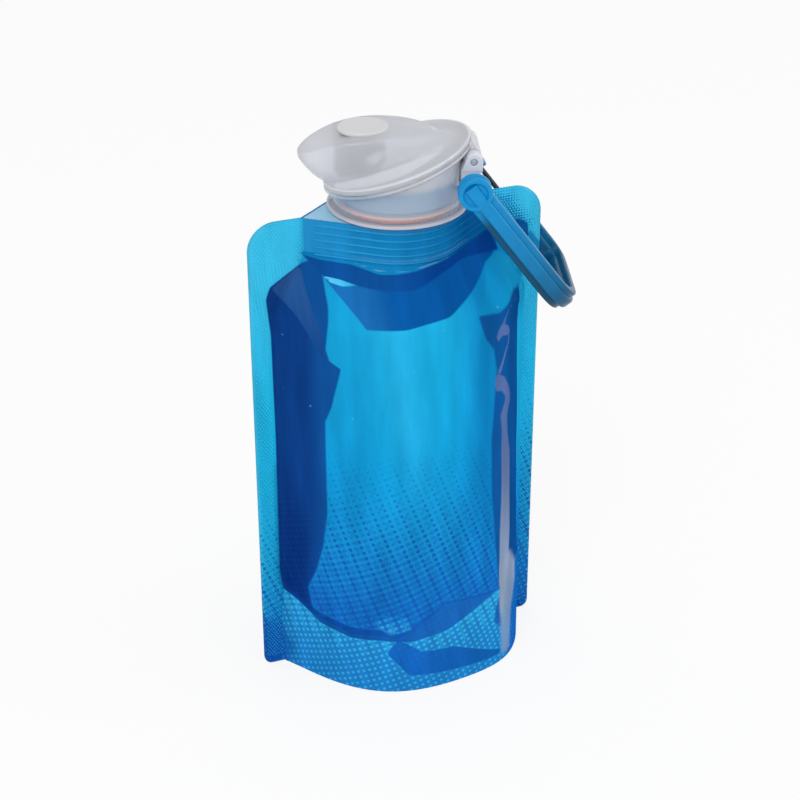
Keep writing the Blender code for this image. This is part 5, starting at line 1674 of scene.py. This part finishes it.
def build_floor():
    """A pale floor that the camera sees as nearly white."""
    bpy.ops.mesh.primitive_plane_add(size=FLOOR_SIZE, location=(0, 0, 0))
    floor = bpy.context.object
    floor.name = "floor"
    material, tree, shader = new_material("pale_floor")
    tone = mix_colour(tree, noise(tree, object_place(tree), 3.0), FLOOR_LOW, FLOOR_HIGH)
    tree.links.new(tone, shader.inputs["Base Color"])
    shader.inputs["Roughness"].default_value = 0.8
    shader.inputs["Specular IOR Level"].default_value = 0.1
    rays = node(tree, "ShaderNodeLightPath")
    seen = math_node(tree, "ADD", rays.outputs["Is Camera Ray"], rays.outputs["Is Glossy Ray"])
    seen = math_node(tree, "ADD", seen, rays.outputs["Is Transmission Ray"], clamp=True)
    glow = node(tree, "ShaderNodeEmission", {"Color": (1, 1, 1, 1), "Strength": 1.0})
    blend = node(tree, "ShaderNodeMixShader")
    tree.links.new(math_node(tree, "MULTIPLY", seen, FLOOR_GLOW), blend.inputs[0])
    tree.links.new(shader.outputs[0], blend.inputs[1])
    tree.links.new(glow.outputs[0], blend.inputs[2])
    tree.links.new(blend.outputs[0], tree.nodes["Material Output"].inputs["Surface"])
    floor.data.materials.append(material)


def build_world(settings):
    """Even light from all round, seen as plain white."""
    world = bpy.data.worlds.new("surround")
    bpy.context.scene.world = world
    world.use_nodes = True
    tree = world.node_tree
    base = tree.nodes["Background"]
    base.inputs["Color"].default_value = (1, 1, 1, 1)
    base.inputs["Strength"].default_value = settings.world_level
    white = node(tree, "ShaderNodeBackground", {"Color": (1, 1, 1, 1), "Strength": 1.0})
    rays = node(tree, "ShaderNodeLightPath")
    seen = math_node(tree, "ADD", rays.outputs["Is Camera Ray"], rays.outputs["Is Transmission Ray"],
                     clamp=True)
    blend = node(tree, "ShaderNodeMixShader")
    tree.links.new(seen, blend.inputs[0])
    tree.links.new(base.outputs[0], blend.inputs[1])
    tree.links.new(white.outputs[0], blend.inputs[2])
    tree.links.new(blend.outputs[0], tree.nodes["World Output"].inputs["Surface"])


def soft_light(name, location, size, power):
    """A large round light aimed at the bottle."""
    light = bpy.data.lights.new(name, "AREA")
    light.shape = "DISK"
    light.size = size
    light.energy = power
    lamp = bpy.data.objects.new(name, light)
    lamp.location = location
    lamp.rotation_euler = (Vector(LIGHT_AIM) - Vector(location)).to_track_quat("-Z", "Y").to_euler()
    bpy.context.scene.collection.objects.link(lamp)


def build_camera():
    """The camera in the photo's place."""
    data = bpy.data.cameras.new("camera")
    data.lens = VIEW_LENS
    data.sensor_width = SENSOR_WIDTH
    camera = bpy.data.objects.new("camera", data)
    back = Vector((math.sin(VIEW_AZIMUTH) * math.cos(VIEW_ELEVATION),
                   -math.cos(VIEW_AZIMUTH) * math.cos(VIEW_ELEVATION), math.sin(VIEW_ELEVATION)))
    turn = back.to_track_quat("Z", "Y").to_matrix().to_4x4() @ Matrix.Rotation(VIEW_ROLL, 4, "Z")
    camera.matrix_world = Matrix.Translation(Vector(VIEW_TARGET) + back * VIEW_DISTANCE) @ turn
    bpy.context.scene.collection.objects.link(camera)
    bpy.context.scene.camera = camera


STEPS = (BOTTLE_OT_films, BOTTLE_OT_seals, BOTTLE_OT_spout, BOTTLE_OT_cap, BOTTLE_OT_lid, BOTTLE_OT_carabiner,
         BOTTLE_OT_stage)


class BOTTLE_PT_sidebar(bpy.types.Panel):
    """Lists the bottle's building steps and their settings"""
    bl_idname = "BOTTLE_PT_sidebar"
    bl_label = "Collapsible Bottle"
    bl_space_type = "VIEW_3D"
    bl_region_type = "UI"
    bl_category = "Bottle"

    def draw(self, context):
        for group in ("bottle_pouch", "bottle_cap", "bottle_carabiner", "bottle_stage"):
            box = self.layout.box()
            settings = getattr(context.scene, group)
            for key in settings.__annotations__:
                box.prop(settings, key)
        for step in STEPS:
            self.layout.operator(step.bl_idname)


GROUPS = (("bottle_pouch", PouchSettings), ("bottle_cap", CapSettings),
          ("bottle_carabiner", CarabinerSettings), ("bottle_stage", StageSettings))


def register():
    for name, group in GROUPS:
        bpy.utils.register_class(group)
        setattr(bpy.types.Scene, name, bpy.props.PointerProperty(type=group))
    for step in STEPS:
        bpy.utils.register_class(step)
    bpy.utils.register_class(BOTTLE_PT_sidebar)


def unregister():
    bpy.utils.unregister_class(BOTTLE_PT_sidebar)
    for step in reversed(STEPS):
        bpy.utils.unregister_class(step)
    for name, group in reversed(GROUPS):
        delattr(bpy.types.Scene, name)
        bpy.utils.unregister_class(group)


def main():
    register()
    bpy.ops.bottle.films()
    bpy.ops.bottle.seals()
    bpy.ops.bottle.spout()
    bpy.ops.bottle.cap()
    bpy.ops.bottle.lid()
    bpy.ops.bottle.carabiner()
    bpy.ops.bottle.stage()


if __name__ == "__main__":
    main()
